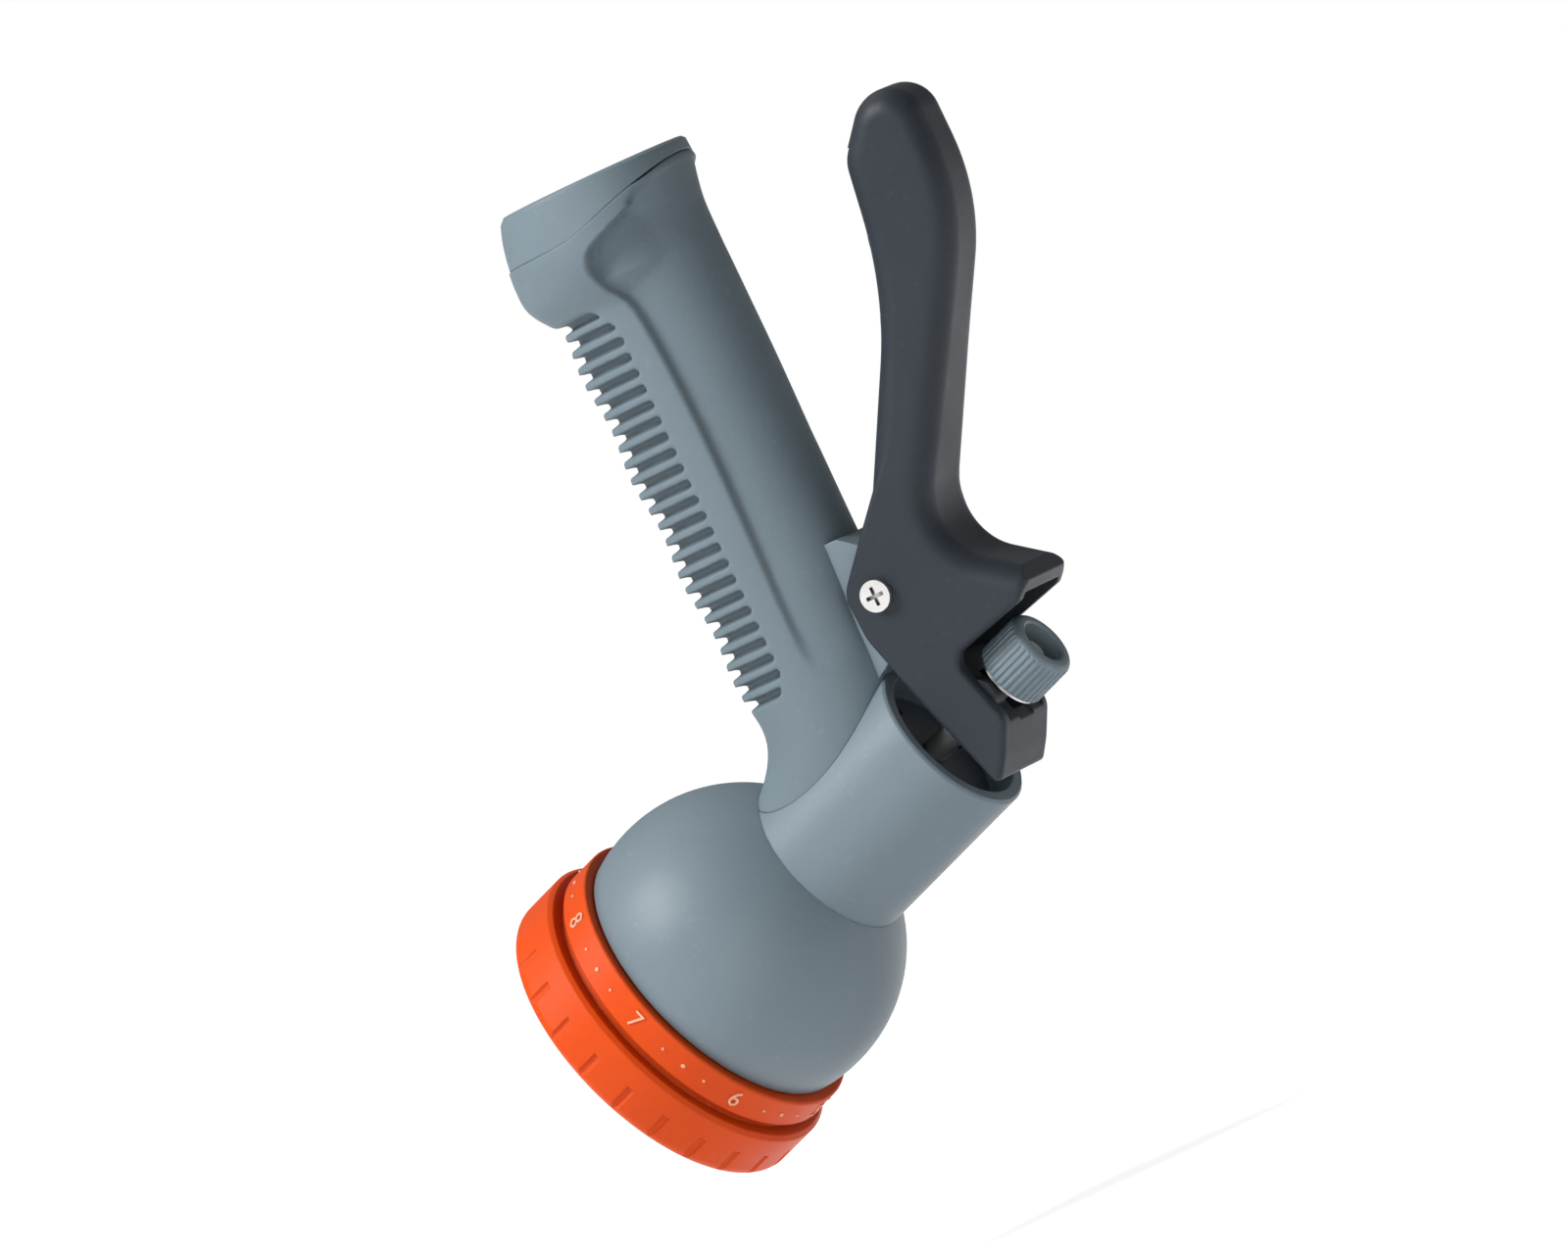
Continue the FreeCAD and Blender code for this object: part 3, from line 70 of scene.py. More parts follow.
# Soft step: 0 below 0, 1 above 1, and between them three t squared less two t cubed.
def smoothStep(t):
    t = np.clip(t, 0.0, 1.0)
    return t * t * (3 - 2 * t)


# Quads of a rows x columns grid, wrapped round its columns, and round its rows where asked. Each
# joins a point with its neighbour to the right, and with the two below them.
def gridFaces(rows, columns, closeRows=False):
    lastRow = rows if closeRows else rows - 1
    i, j = np.meshgrid(np.arange(lastRow), np.arange(columns), indexing="ij")
    down, right = (i + 1) % rows, (j + 1) % columns
    here, below = i * columns, down * columns
    quads = np.stack([here + j, here + right, below + right, below + j], -1)
    return quads.reshape(-1, 4)


# Object whose mesh has these points, in millimetres, these faces and one material.
def meshPiece(name, points, faces, material, smooth=True):
    mesh = bpy.data.meshes.new(name)
    points = np.asarray(points, float).reshape(-1, 3) * mm
    mesh.from_pydata(points.tolist(), [], [list(map(int, face)) for face in faces])
    mesh.polygons.foreach_set("use_smooth", [smooth] * len(mesh.polygons))
    mesh.materials.append(material)
    mesh.update()
    piece = bpy.data.objects.new(name, mesh)
    bpy.context.scene.collection.objects.link(piece)
    return piece


# Empty node group with named number inputs (name, value) and outputs (name, type).
def newGroup(name, inputs, outputs):
    group = bpy.data.node_groups.new(name, "ShaderNodeTree")
    for label, value in inputs:
        socket = group.interface.new_socket(label, in_out="INPUT", socket_type="NodeSocketFloat")
        socket.default_value = value
    for label, kind in outputs:
        group.interface.new_socket(label, in_out="OUTPUT", socket_type=kind)
    return group, group.nodes.new("NodeGroupInput"), group.nodes.new("NodeGroupOutput")


# New node: a setting goes to the node's own property of that name, or else to its socket.
def add(tree, kind, **settings):
    node = tree.nodes.new(kind)
    for key, value in settings.items():
        if hasattr(node, key):
            setattr(node, key, value)
        else:
            node.inputs[key.replace("_", " ")].default_value = value
    return node


# The source stretched in a straight line, so that low gives 0 and high gives 1, and held beyond.
def ramp(tree, source, low, high):
    node = add(tree, "ShaderNodeMapRange", clamp=True)
    node.inputs["From Min"].default_value = low
    node.inputs["From Max"].default_value = high
    tree.links.new(source, node.inputs["Value"])
    return node.outputs["Result"]


# One arithmetic step on two sockets or numbers.
def combine(tree, operation, first, second):
    node = add(tree, "ShaderNodeMath", operation=operation)
    for index, value in enumerate((first, second)):
        if isinstance(value, (int, float)):
            node.inputs[index].default_value = value
        else:
            tree.links.new(value, node.inputs[index])
    return node.outputs[0]


# Worn edges: how far a rounded normal leans away from the face's own, broken up by noise. The mask
# is the lean times the patchy noise times the amount.
def edgeGroup():
    inputs = [("Radius", 0.0006), ("Amount", 0.5), ("Breakup", 900.0)]
    group, given, result = newGroup("edgeWear", inputs, [("Mask", "NodeSocketFloat")])
    bevel = add(group, "ShaderNodeBevel", samples=6)
    group.links.new(given.outputs["Radius"], bevel.inputs["Radius"])
    geometry = add(group, "ShaderNodeNewGeometry")
    facing = add(group, "ShaderNodeVectorMath", operation="DOT_PRODUCT")
    group.links.new(bevel.outputs[0], facing.inputs[0])
    group.links.new(geometry.outputs["Normal"], facing.inputs[1])
    lean = ramp(group, facing.outputs["Value"], 0.985, 0.80)
    place = add(group, "ShaderNodeTexCoord")
    noise = add(group, "ShaderNodeTexNoise", Detail=3.0, Roughness=0.6)
    group.links.new(place.outputs["Object"], noise.inputs["Vector"])
    group.links.new(given.outputs["Breakup"], noise.inputs["Scale"])
    patchy = ramp(group, noise.outputs["Fac"], 0.34, 0.62)
    mask = combine(group, "MULTIPLY", combine(group, "MULTIPLY", lean, patchy), given.outputs["Amount"])
    group.links.new(mask, result.inputs["Mask"])
    return group


# Moulded surface: fine spark-eroded grain as height, which is noise plus the distance to the
# nearest pebble, with slow cloudy variation and a few pale specks.
def grainGroup():
    outputs = [(label, "NodeSocketFloat") for label in ("Height", "Cloud", "Speck")]
    group, given, result = newGroup("mouldGrain", [("Scale", 2600.0), ("Cloud", 45.0)], outputs)
    place = add(group, "ShaderNodeTexCoord")
    fine = add(group, "ShaderNodeTexNoise", Detail=2.0, Roughness=0.55)
    pebble = add(group, "ShaderNodeTexVoronoi", feature="SMOOTH_F1")
    cloud = add(group, "ShaderNodeTexNoise", Detail=4.0, Roughness=0.55)
    speck = add(group, "ShaderNodeTexNoise", Scale=420.0, Detail=2.0, Roughness=0.7)
    for node in (fine, pebble, cloud, speck):
        group.links.new(place.outputs["Object"], node.inputs["Vector"])
    group.links.new(given.outputs["Scale"], fine.inputs["Scale"])
    group.links.new(combine(group, "MULTIPLY", given.outputs["Scale"], 0.6), pebble.inputs["Scale"])
    group.links.new(given.outputs["Cloud"], cloud.inputs["Scale"])
    height = combine(group, "ADD", fine.outputs["Fac"], pebble.outputs["Distance"])
    group.links.new(height, result.inputs["Height"])
    group.links.new(ramp(group, cloud.outputs["Fac"], 0.3, 0.7), result.inputs["Cloud"])
    group.links.new(ramp(group, speck.outputs["Fac"], 0.62, 0.74), result.inputs["Speck"])
    return group


# Painted shade for grooves and corners: 1 where little of the sky is seen, 0 in the open.
def recessShadeGroup():
    group, given, result = newGroup("recessShade", [("Distance", 0.003)], [("Mask", "NodeSocketFloat")])
    occlusion = add(group, "ShaderNodeAmbientOcclusion", samples=6)
    group.links.new(given.outputs["Distance"], occlusion.inputs["Distance"])
    group.links.new(ramp(group, occlusion.outputs["AO"], 0.85, 0.25), result.inputs["Mask"])
    return group


edgeWear, mouldGrain, recessShade = edgeGroup(), grainGroup(), recessShadeGroup()


# Colour that goes from the first to the second with the factor; each is a socket or a triple.
def mixColour(tree, factor, first, second):
    node = add(tree, "ShaderNodeMix", data_type="RGBA")
    for socket, value in ((node.inputs[0], factor), (node.inputs[6], first), (node.inputs[7], second)):
        if isinstance(value, (int, float)):
            socket.default_value = value
        elif isinstance(value, tuple):
            socket.default_value = (*value, 1.0)
        else:
            tree.links.new(value, socket)
    return node.outputs[2]


# Screen values of 0 to 255 in the shader's linear scale: a power of 2.4, with a straight dark end.
def linear(red, green, blue):
    shares = (red / 255, green / 255, blue / 255)
    return tuple(((v + 0.055) / 1.055) ** 2.4 if v > 0.04 else v / 12.92 for v in shares)


# A fresh material with its node tree and its one main shader.
def newMaterial(name):
    material = bpy.data.materials.new(name)
    material.use_nodes = True
    tree = material.node_tree
    shader = tree.nodes["Principled BSDF"]
    return material, tree, shader


# Moulded plastic or rubber. The tone goes cloudy, speckled, darker in the corners by painted shade
# and pale on worn edges, in that order; a rounded normal softens the edges, and the grain lies on it as height.
def mouldedPlastic(name, look):
    material, tree, shader = newMaterial(name)
    grain = add(tree, "ShaderNodeGroup", node_tree=mouldGrain)
    grain.inputs["Scale"].default_value = look["grainScale"]
    wear = add(tree, "ShaderNodeGroup", node_tree=edgeWear)
    wear.inputs["Radius"].default_value = look["edge"]
    wear.inputs["Amount"].default_value = look["wear"]
    shade = add(tree, "ShaderNodeGroup", node_tree=recessShade)
    base = linear(*look["colour"])
    deep = tuple(v * (1 - look["cloud"]) for v in base)
    colour = mixColour(tree, grain.outputs["Cloud"], deep, base)
    colour = mixColour(tree, combine(tree, "MULTIPLY", grain.outputs["Speck"], look["speck"]), colour,
                       linear(*look["paleColour"]))
    # painted shade: grooves and corners go towards 0.35 of the base colour
    colour = mixColour(tree, combine(tree, "MULTIPLY", shade.outputs["Mask"], look["recessShade"]), colour,
                       tuple(v * 0.35 for v in base))
    colour = mixColour(tree, wear.outputs["Mask"], colour, linear(*look["paleColour"]))
    tree.links.new(colour, shader.inputs["Base Color"])
    patches = combine(tree, "MULTIPLY", grain.outputs["Cloud"], 0.12)
    rough = combine(tree, "ADD", look["roughness"] - 0.06, patches)
    tree.links.new(rough, shader.inputs["Roughness"])
    height = add(tree, "ShaderNodeBump", Strength=look["bump"], Distance=0.0001)
    soft = add(tree, "ShaderNodeBevel", samples=4, Radius=look["edge"])
    tree.links.new(soft.outputs["Normal"], height.inputs["Normal"])
    tree.links.new(grain.outputs["Height"], height.inputs["Height"])
    tree.links.new(height.outputs["Normal"], shader.inputs["Normal"])
    shader.inputs["Specular IOR Level"].default_value = look.get("specular", 0.5)
    return material


# Machined or plated metal: fine scratches along one direction, slight tarnish, and painted shade in recesses.
def turnedMetal(name, look):
    material, tree, shader = newMaterial(name)
    place = add(tree, "ShaderNodeTexCoord")
    stretch = add(tree, "ShaderNodeMapping")
    stretch.inputs["Scale"].default_value = look["stretch"]
    tree.links.new(place.outputs["Object"], stretch.inputs["Vector"])
    scratches = add(tree, "ShaderNodeTexNoise", Scale=look["scratchScale"], Detail=3.0, Roughness=0.6)
    tree.links.new(stretch.outputs["Vector"], scratches.inputs["Vector"])
    tarnish = add(tree, "ShaderNodeTexNoise", Scale=160.0, Detail=4.0, Roughness=0.6)
    tree.links.new(place.outputs["Object"], tarnish.inputs["Vector"])
    base = linear(*look["colour"])
    spots = ramp(tree, tarnish.outputs["Fac"], 0.35, 0.75)
    colour = mixColour(tree, spots, base, linear(*look["tarnish"]))
    shade = add(tree, "ShaderNodeGroup", node_tree=recessShade)
    shade.inputs["Distance"].default_value = look["reach"]
    # painted shade: recesses go towards 0.06 of the base colour, nearly black
    colour = mixColour(tree, shade.outputs["Mask"], colour, tuple(v * 0.06 for v in base))
    tree.links.new(colour, shader.inputs["Base Color"])
    streaks = combine(tree, "MULTIPLY", scratches.outputs["Fac"], 0.18)
    rough = combine(tree, "ADD", look["roughness"], streaks)
    tree.links.new(rough, shader.inputs["Roughness"])
    height = add(tree, "ShaderNodeBump", Strength=0.25, Distance=0.00005)
    tree.links.new(scratches.outputs["Fac"], height.inputs["Height"])
    tree.links.new(height.outputs["Normal"], shader.inputs["Normal"])
    shader.inputs["Metallic"].default_value = 1.0
    return material


# Finishes by name. Colours are screen values of 0 to 255; the edge radius and the reach of the painted
# shade in recesses are in metres; the rest are shares or scales, among them that shade's strength.
looks = {
    "housingPlastic": {
        "colour": (116, 132, 141), "paleColour": (158, 171, 179), "grainScale": 2600.0,
        "edge": 0.0005, "wear": 0.5, "cloud": 0.05, "speck": 0.1, "recessShade": 0.5,
        "roughness": 0.5, "bump": 0.16},
    "gripRubber": {
        "colour": (112, 128, 137), "paleColour": (148, 161, 169), "grainScale": 2000.0,
        "edge": 0.0004, "wear": 0.25, "cloud": 0.07, "speck": 0.12, "recessShade": 0.6,
        "roughness": 0.66, "bump": 0.25},
    "leverPlastic": {
        "colour": (45, 51, 59), "paleColour": (76, 84, 92), "grainScale": 2400.0,
        "edge": 0.0006, "wear": 0.45, "cloud": 0.08, "speck": 0.1, "recessShade": 0.5,
        "roughness": 0.5, "bump": 0.2, "specular": 0.25},
    "knobPlastic": {
        "colour": (122, 139, 148), "paleColour": (158, 171, 179), "grainScale": 2600.0,
        "edge": 0.0003, "wear": 0.5, "cloud": 0.05, "speck": 0.1, "recessShade": 0.6,
        "roughness": 0.5, "bump": 0.16},
    "dialPlastic": {
        "colour": (226, 76, 2), "paleColour": (250, 130, 70), "grainScale": 2600.0,
        "edge": 0.0005, "wear": 0.4, "cloud": 0.06, "speck": 0.06, "recessShade": 0.65,
        "roughness": 0.48, "bump": 0.12, "specular": 0.25},
    "facePlastic": {
        "colour": (66, 73, 82), "paleColour": (112, 121, 131), "grainScale": 2600.0,
        "edge": 0.0004, "wear": 0.35, "cloud": 0.08, "speck": 0.08, "recessShade": 0.6,
        "roughness": 0.5, "bump": 0.16},
    "insertPlastic": {
        "colour": (150, 165, 175), "paleColour": (190, 200, 208), "grainScale": 2600.0,
        "edge": 0.0002, "wear": 0.4, "cloud": 0.05, "speck": 0.08, "recessShade": 0.7,
        "roughness": 0.45, "bump": 0.12},
    "naturalPlastic": {
        "colour": (222, 220, 210), "paleColour": (240, 239, 232), "grainScale": 2600.0,
        "edge": 0.0003, "wear": 0.2, "cloud": 0.05, "speck": 0.05, "recessShade": 0.5,
        "roughness": 0.42, "bump": 0.1},
    "sealRubber": {
        "colour": (34, 34, 36), "paleColour": (70, 70, 72), "grainScale": 1800.0,
        "edge": 0.0002, "wear": 0.2, "cloud": 0.15, "speck": 0.2, "recessShade": 0.4,
        "roughness": 0.7, "bump": 0.2},
    "numberPaint": {
        "colour": (250, 178, 142), "paleColour": (255, 205, 180), "grainScale": 2600.0,
        "edge": 0.0001, "wear": 0.2, "cloud": 0.08, "speck": 0.05, "recessShade": 0.1,
        "roughness": 0.45, "bump": 0.05},
}
metals = {
    "platedSteel": {
        "colour": (214, 214, 212), "tarnish": (200, 199, 196), "stretch": (1, 6, 1),
        "scratchScale": 500.0, "roughness": 0.3, "reach": 0.0012},
    "turnedBrass": {
        "colour": (214, 170, 92), "tarnish": (176, 132, 66), "stretch": (1, 1, 8),
        "scratchScale": 600.0, "roughness": 0.24, "reach": 0.002},
}
materials = {name: mouldedPlastic(name, look) for name, look in looks.items()}
materials.update({name: turnedMetal(name, look) for name, look in metals.items()})

# the finish of each of the record's materials
finishOfSlot = {
    "body_plastic": "housingPlastic", "grip_rubber": "gripRubber", "lever_plastic": "leverPlastic",
    "knob_plastic": "knobPlastic", "dial_plastic": "dialPlastic", "face_plastic": "facePlastic",
    "insert_plastic": "insertPlastic", "inner_plastic": "naturalPlastic", "seal_rubber": "sealRubber",
    "stem_brass": "turnedBrass", "steel": "platedSteel"}
for part in frame["record"]["subparts"]:
    mesh = nodes[part["node"]].data
    mesh.materials.clear()
    mesh.materials.append(materials[finishOfSlot[part["material_slot"]]])
print("materials ready:", len(materials))


# The grip, its lengths in millimetres and its rise in degrees; a height is measured up from the
# inlet's rim, so the grip's are below 0. Its reach and waves come first, then its top, its bore,
# its spread foot, what the foot meets, the finger slots, and how finely it is drawn.
grip = {
    "front": 17.6, "rear": 18.3, "side": 15.0, "taper": 2.6, "sideTaper": 0.4, "belly": 0.5,
    "finTop": -22.5, "finSpan": 84.0, "wave": 0.5, "waveLength": 21.0, "blend": 1.2, "rearBlend": 0.6,
    "shutLine": -9.52, "shutRise": 20.0, "shutRound": 12.0, "mouth": -6.0, "lip": 0.45, "lipRows": 6,
    "core": 11.3, "coreTop": -22.6, "sleeve": 15.5, "sleeveFoot": -17.6,
    "flareTop": -102.6, "flareSpan": 15.0, "flare": 8.3, "flarePower": 2.4, "lowest": -112.0,
    "barrel": 16.75, "bell": 30.25, "bellCentre": 40.86,
    "pitch": 3.2, "slot": 0.95, "slots": 25, "slotFront": 2.2, "slotSide": 1.8, "slotEnd": -1.0,
    "slotWall": 0.4, "fieldRound": 4.0, "fieldEnds": 12, "tipRound": 0.3, "tipReach": 0.55,
    "rows": 430, "columns": 216}
# heights down the collar's skirt, and its reach to the front, the rear and the side at each
skirt = {
    "height": [1.0, -2.0, -7.5, -13.0, -18.0, -23.5, -30.0],
    "front": [18.7, 19.4, 21.16, 21.9, 21.5, 17.2, 9.0],
    "rear": [18.6, 18.74, 19.14, 19.5, 18.5, 17.9, 9.0],
    "side": [18.6, 18.73, 19.13, 19.49, 17.99, 14.6, 8.0]}
# heights down the rear panel's edge, and how far behind the grip's axis it lies; then the panel's
# ends and corners, and its own reach to the rear and the side, by level
panel = {
    "height": [-8.0, -10.0, -12.0, -14.5, -19.5, -24.0, -28.0, -110.0],
    "edge": [12.0, 7.6, 3.4, 1.5, 1.6, 3.6, 4.4, 4.4],
    "top": -11.0, "rise": 0.36, "end": -98.0, "endSlope": 5.0, "corner": 1.2, "wall": 1.4,
    "turn": 1.5, "sinkRear": 0.8, "sinkSide": 1.8,
    "level": [0.0, -4.5, -9.0, -12.5, -18.0, -26.0],
    "rear": [19.3, 18.8, 18.0, 17.5, 17.4, 17.5],
    "side": [18.0, 15.6, 13.6, 12.6, 12.9, 13.2]}
# the least reach that the collar's sleeve leaves the skin, by height
shoulder = {"height": [-24.6, -18.6, -13.0, -10.0], "reach": [12.2, 15.7, 15.7, 15.7], "blend": 0.3}


# Smooth curve through pairs of at and value, in falling order: cubic pieces whose slopes are the
# means of the chords on either side.
def throughPoints(place, at, value):
    at, value = np.array(at[::-1]), np.array(value[::-1])
    chord = np.diff(value) / np.diff(at)
    slope = np.concatenate([chord[:1], (chord[:-1] + chord[1:]) / 2, chord[-1:]])
    index = np.clip(np.searchsorted(at, place) - 1, 0, len(at) - 2)
    width = at[index + 1] - at[index]
    t = np.clip((place - at[index]) / width, 0, 1)
    return ((1 + 2 * t) * (1 - t) ** 2 * value[index] + t * (1 - t) ** 2 * width * slope[index]
            + t * t * (3 - 2 * t) * value[index + 1] - t * t * (1 - t) * width * slope[index + 1])


# The larger of two numbers, with the corner between them rounded over: half of their sum and of
# the root of their difference squared plus soft squared.
def smoothMax(first, second, soft):
    return (first + second + np.sqrt((first - second) ** 2 + soft ** 2)) / 2


# Front, rear and side reach: they shrink with the square of the way down the fins, and the rear
# has a slight belly, half a sine wave.
def gripReach(height):
    t = np.clip((grip["finTop"] - height) / grip["finSpan"], -0.2, 1.2)
    slim = grip["taper"] * t * t
    belly = grip["belly"] * np.sin(np.pi * np.clip(t, -0.12, 1))
    return grip["front"] - slim, grip["rear"] - slim + belly, grip["side"] - grip["sideTaper"] * slim


# How deep the finger slots cut in. Each slot is a capsule, shorter near both ends of the field, cut
# to its floor behind a soft wall; round it the tips of the fins are rounded off.
def slotDepth(x, angle, height):
    step = (grip["finTop"] - height) / grip["pitch"]
    row = np.clip(np.floor(step), 0, grip["slots"] - 1)
    fromSlot = (step - row) * grip["pitch"] - grip["slot"]
    share = np.clip(step / grip["slots"], 0, 1)
    nearTop = np.clip(1 - share * grip["fieldEnds"], 0, 1) ** 2
    nearFoot = np.clip(1 - (1 - share) * grip["fieldEnds"], 0, 1) ** 2
    fieldEnd = grip["slotEnd"] - grip["fieldRound"] * nearTop - grip["fieldRound"] * nearFoot
    toEnd = np.clip(grip["slot"] - (fieldEnd - x), 0, None)
    outside = np.hypot(fromSlot, toEnd) - grip["slot"]
    depth = grip["slotFront"] + (grip["slotSide"] - grip["slotFront"]) * np.abs(np.sin(angle))
    cut = smoothStep(-outside / grip["slotWall"])
    tip = np.clip(1 - outside / grip["tipReach"], 0, 1) ** 2
    sink = depth * cut + grip["tipRound"] * tip * (outside > 0)
    return sink + grip["tipRound"] * (outside <= 0) * (1 - cut)


# How deep the rear panel is sunk, from the skin's reach to the panel's own. Its edge, its sloped top
# and its foot are joined with round corners, and the wall along them is soft.
def panelDepth(x, angle, height, rear, side):
    edge = throughPoints(height, panel["height"], panel["edge"])
    toEdge, toTop = x - edge, panel["top"] + panel["rise"] * x - height
    toFoot = (height - panel["end"]) / panel["endSlope"]
    nearest = sum(np.exp(-gap * panel["corner"]) for gap in (toEdge, toTop, toFoot))
    inside = -np.log(nearest) / panel["corner"]
    _, plainRear, plainSide = gripReach(height)
    floorRear = throughPoints(height, panel["level"], panel["rear"])
    floorRear = np.maximum(floorRear, plainRear - panel["sinkRear"])
    floorSide = throughPoints(height, panel["level"], panel["side"])
    floorSide = np.maximum(floorSide, plainSide - panel["sinkSide"])
    behind = np.abs(np.cos(angle)) ** panel["turn"]
    sunk = np.clip(rear - floorRear, 0, None) * behind + np.clip(side - floorSide, 0, None) * (1 - behind)
    return smoothStep(inside / panel["wall"] + 0.5) * sunk


# Skin of the grip at an angle from the spray side and a height, in millimetres: an oval of front,
# rear and side reach, each the larger of the grip's and the skirt's, spread at its foot. The slots
# and the panel are cut in square to the oval, down to the shoulder at most.
def gripSurface(angle, height):
    front, rear, side = gripReach(height)
    wave = -grip["wave"] * np.cos(2 * np.pi * (grip["finTop"] - height) / grip["waveLength"])
    foot = np.clip((grip["flareTop"] - height) / grip["flareSpan"], 0, 1.3)
    foot = foot ** grip["flarePower"] * grip["flare"]
    skirtFront, skirtRear, skirtSide = (throughPoints(height, skirt["height"], skirt[way])
                                        for way in ("front", "rear", "side"))
    front = smoothMax(front + wave, skirtFront, grip["blend"]) + foot
    rear = smoothMax(rear, skirtRear, grip["rearBlend"])
    side = smoothMax(side, skirtSide, grip["blend"])
    x = (rear - front) / 2 - (front + rear) / 2 * np.cos(angle)
    y = side * np.sin(angle)
    outward = np.stack([-np.cos(angle) * side, np.sin(angle) * (front + rear) / 2], -1)
    outward /= np.linalg.norm(outward, axis=-1, keepdims=True)
    sink = slotDepth(x, angle, height) + panelDepth(x, angle, height, rear, side)
    x = x - outward[..., 0] * sink
    y = y - outward[..., 1] * sink
    reach = np.hypot(x, y)
    least = np.interp(height, shoulder["height"], shoulder["reach"])
    larger = smoothMax(reach, least, shoulder["blend"]) / reach
    return x * larger, y * larger


# Height where the skin meets the barrel or the bell: each step goes half of the way to whichever
# of them stands higher under the skin's present place.
def footHeight(angle):
    centre = barrelFoot + spray * grip["bellCentre"]
    height = np.full_like(angle, grip["lowest"])
    for _ in range(30):
        x, y = gripSurface(angle, height)
        tube = np.sqrt(np.clip(grip["barrel"] ** 2 - y ** 2, 0, None)) - above[0] * x
        tube = tube / above[2] + barrelFoot[2]
        flat = np.clip(grip["bell"] ** 2 - (x - centre[0]) ** 2 - y ** 2, 0, None)
        ball = np.where(flat > 0, centre[2] + np.sqrt(flat), -999.0)
        height = 0.5 * height + 0.5 * np.maximum(tube, ball)
    return height


# The skin as one closed ring of rows: over the rounded lip, down the outside, and back up the bore.
# The lip's line is level, and rises on the lever's side by the slope of shutRise.
def gripSkin():
    angle = np.linspace(0, 2 * np.pi, grip["columns"], endpoint=False)
    x0, _ = gripSurface(angle, np.full_like(angle, grip["mouth"]))
    slope = math.tan(math.radians(grip["shutRise"]))
    rise = (np.sqrt(x0 ** 2 + grip["shutRound"]) + x0) / 2        # only on the lever's side
    top = grip["shutLine"] + slope * rise
    foot = footHeight(angle) - 0.1
    rows = []
    lip = grip["lip"]
    for t in np.linspace(0, 1, grip["lipRows"]):         # rounded lip at the shut line
        drop = lip * (1 - math.cos(t * math.pi / 2))
        inward = lip * (1 - math.sin(t * math.pi / 2))
        x, y = gripSurface(angle, top - drop)
        reach = np.hypot(x, y)
        rows.append(np.stack([x * (1 - inward / reach), y * (1 - inward / reach), top - drop], -1))
    for t in np.linspace(0, 1, grip["rows"])[1:]:
        height = (top - lip) + t * (foot - top + lip)
        x, y = gripSurface(angle, height)
        rows.append(np.stack([x, y, height], -1))
    bore = [(grip["core"], foot + 0.5), (grip["core"], np.full_like(angle, grip["coreTop"])),
            (grip["sleeve"], np.full_like(angle, grip["sleeveFoot"])), (grip["sleeve"], top - 0.05)]
    for radius, height in bore:
        rows.append(np.stack([-radius * np.cos(angle), radius * np.sin(angle), height], -1))
    rows = np.array(rows)
    faces = gridFaces(len(rows), grip["columns"], closeRows=True)
    piece = meshPiece("grip_skin", rows, faces[:, ::-1], materials["gripRubber"])
    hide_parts("grip_overmold")
    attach(piece, "body")


gripSkin()
print("grip ready")


# The number band of the dial, in millimetres; the middle is measured along the spray.
band = {"radius": 31.2, "middle": 52.26, "height": 3.6, "raise": 0.28, "root": 0.3, "numbers": 8,
        "fontShare": 1.35, "dotRadius": 0.42, "smallDot": 0.7, "dotShares": (0.30, 0.5, 0.70)}


# Flat drawing, x along, y up and z out, bent round the band: x over the radius becomes the angle,
# y goes back along the spray, and z adds to the radius.
def wrapOnBand(points, turn):
    angle = turn - points[:, 0] / band["radius"]
    radius = band["radius"] + points[:, 2]
    along = band["middle"] - points[:, 1]
    return (barrelFoot + np.outer(along, spray) + (radius * np.cos(angle))[:, None] * above
            + (radius * np.sin(angle))[:, None] * across)


# Mesh of a raised numeral lying flat, in millimetres, centred on its own middle.
def flatNumber(word):
    curve = bpy.data.curves.new("numeral", "FONT")
    curve.body = word
    curve.size = band["height"] * band["fontShare"]
    curve.extrude = 0.5 * (band["raise"] + band["root"])
    curve.align_x = "CENTER"
    curve.align_y = "CENTER"
    holder = bpy.data.objects.new("numeral", curve)
    bpy.context.scene.collection.objects.link(holder)
    bpy.context.view_layer.update()
    drawn = holder.evaluated_get(bpy.context.evaluated_depsgraph_get())
    mesh = bpy.data.meshes.new_from_object(drawn)
    points = np.zeros(len(mesh.vertices) * 3, np.float32)
    mesh.vertices.foreach_get("co", points)
    points = points.reshape(-1, 3).astype(float)
    faces = [list(polygon.vertices)[::-1] for polygon in mesh.polygons]
    bpy.data.objects.remove(holder)
    points[:, 2] += band["raise"] - points[:, 2].max()
    return points, faces


# Numerals 1 to 8 with three dots between each pair, wrapped round the number band.
def dialNumbers():
    points, faces, start = [], [], 0
    step = 2 * math.pi / band["numbers"]
    ring = np.linspace(0, 2 * np.pi, 20, endpoint=False)
    profile = [(1.0, -band["root"]), (1.0, band["raise"] * 0.6), (0.75, band["raise"])]
    for index in range(band["numbers"]):
        flat, polygons = flatNumber(str(index + 1))
        points.append(wrapOnBand(flat, step * index))
        faces += [[v + start for v in polygon] for polygon in polygons]
        start += len(flat)
        for share in band["dotShares"]:
            size = band["dotRadius"] * (1.0 if share == 0.5 else band["smallDot"])
            rings = [np.stack([size * reach * np.cos(ring), size * reach * np.sin(ring),
                               np.full_like(ring, level)], -1) for reach, level in profile]
            points.append(wrapOnBand(np.concatenate(rings), step * (index + share)))
            faces += (gridFaces(len(rings), len(ring))[:, ::-1] + start).tolist()
            faces.append(list(range(start + 2 * len(ring), start + 3 * len(ring)))[::-1])
            start += len(rings) * len(ring)
    piece = meshPiece("dial_numbers", np.concatenate(points), faces, materials["numberPaint"], False)
    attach(piece, "dial")


dialNumbers()
print("dial numbers ready")


# Where the camera stands: degrees round the part and of roll, metres away, and the lens in mm.
view = {"azimuth": 26.5, "roll": 25.0, "distance": 3.0, "lens": 375.0}
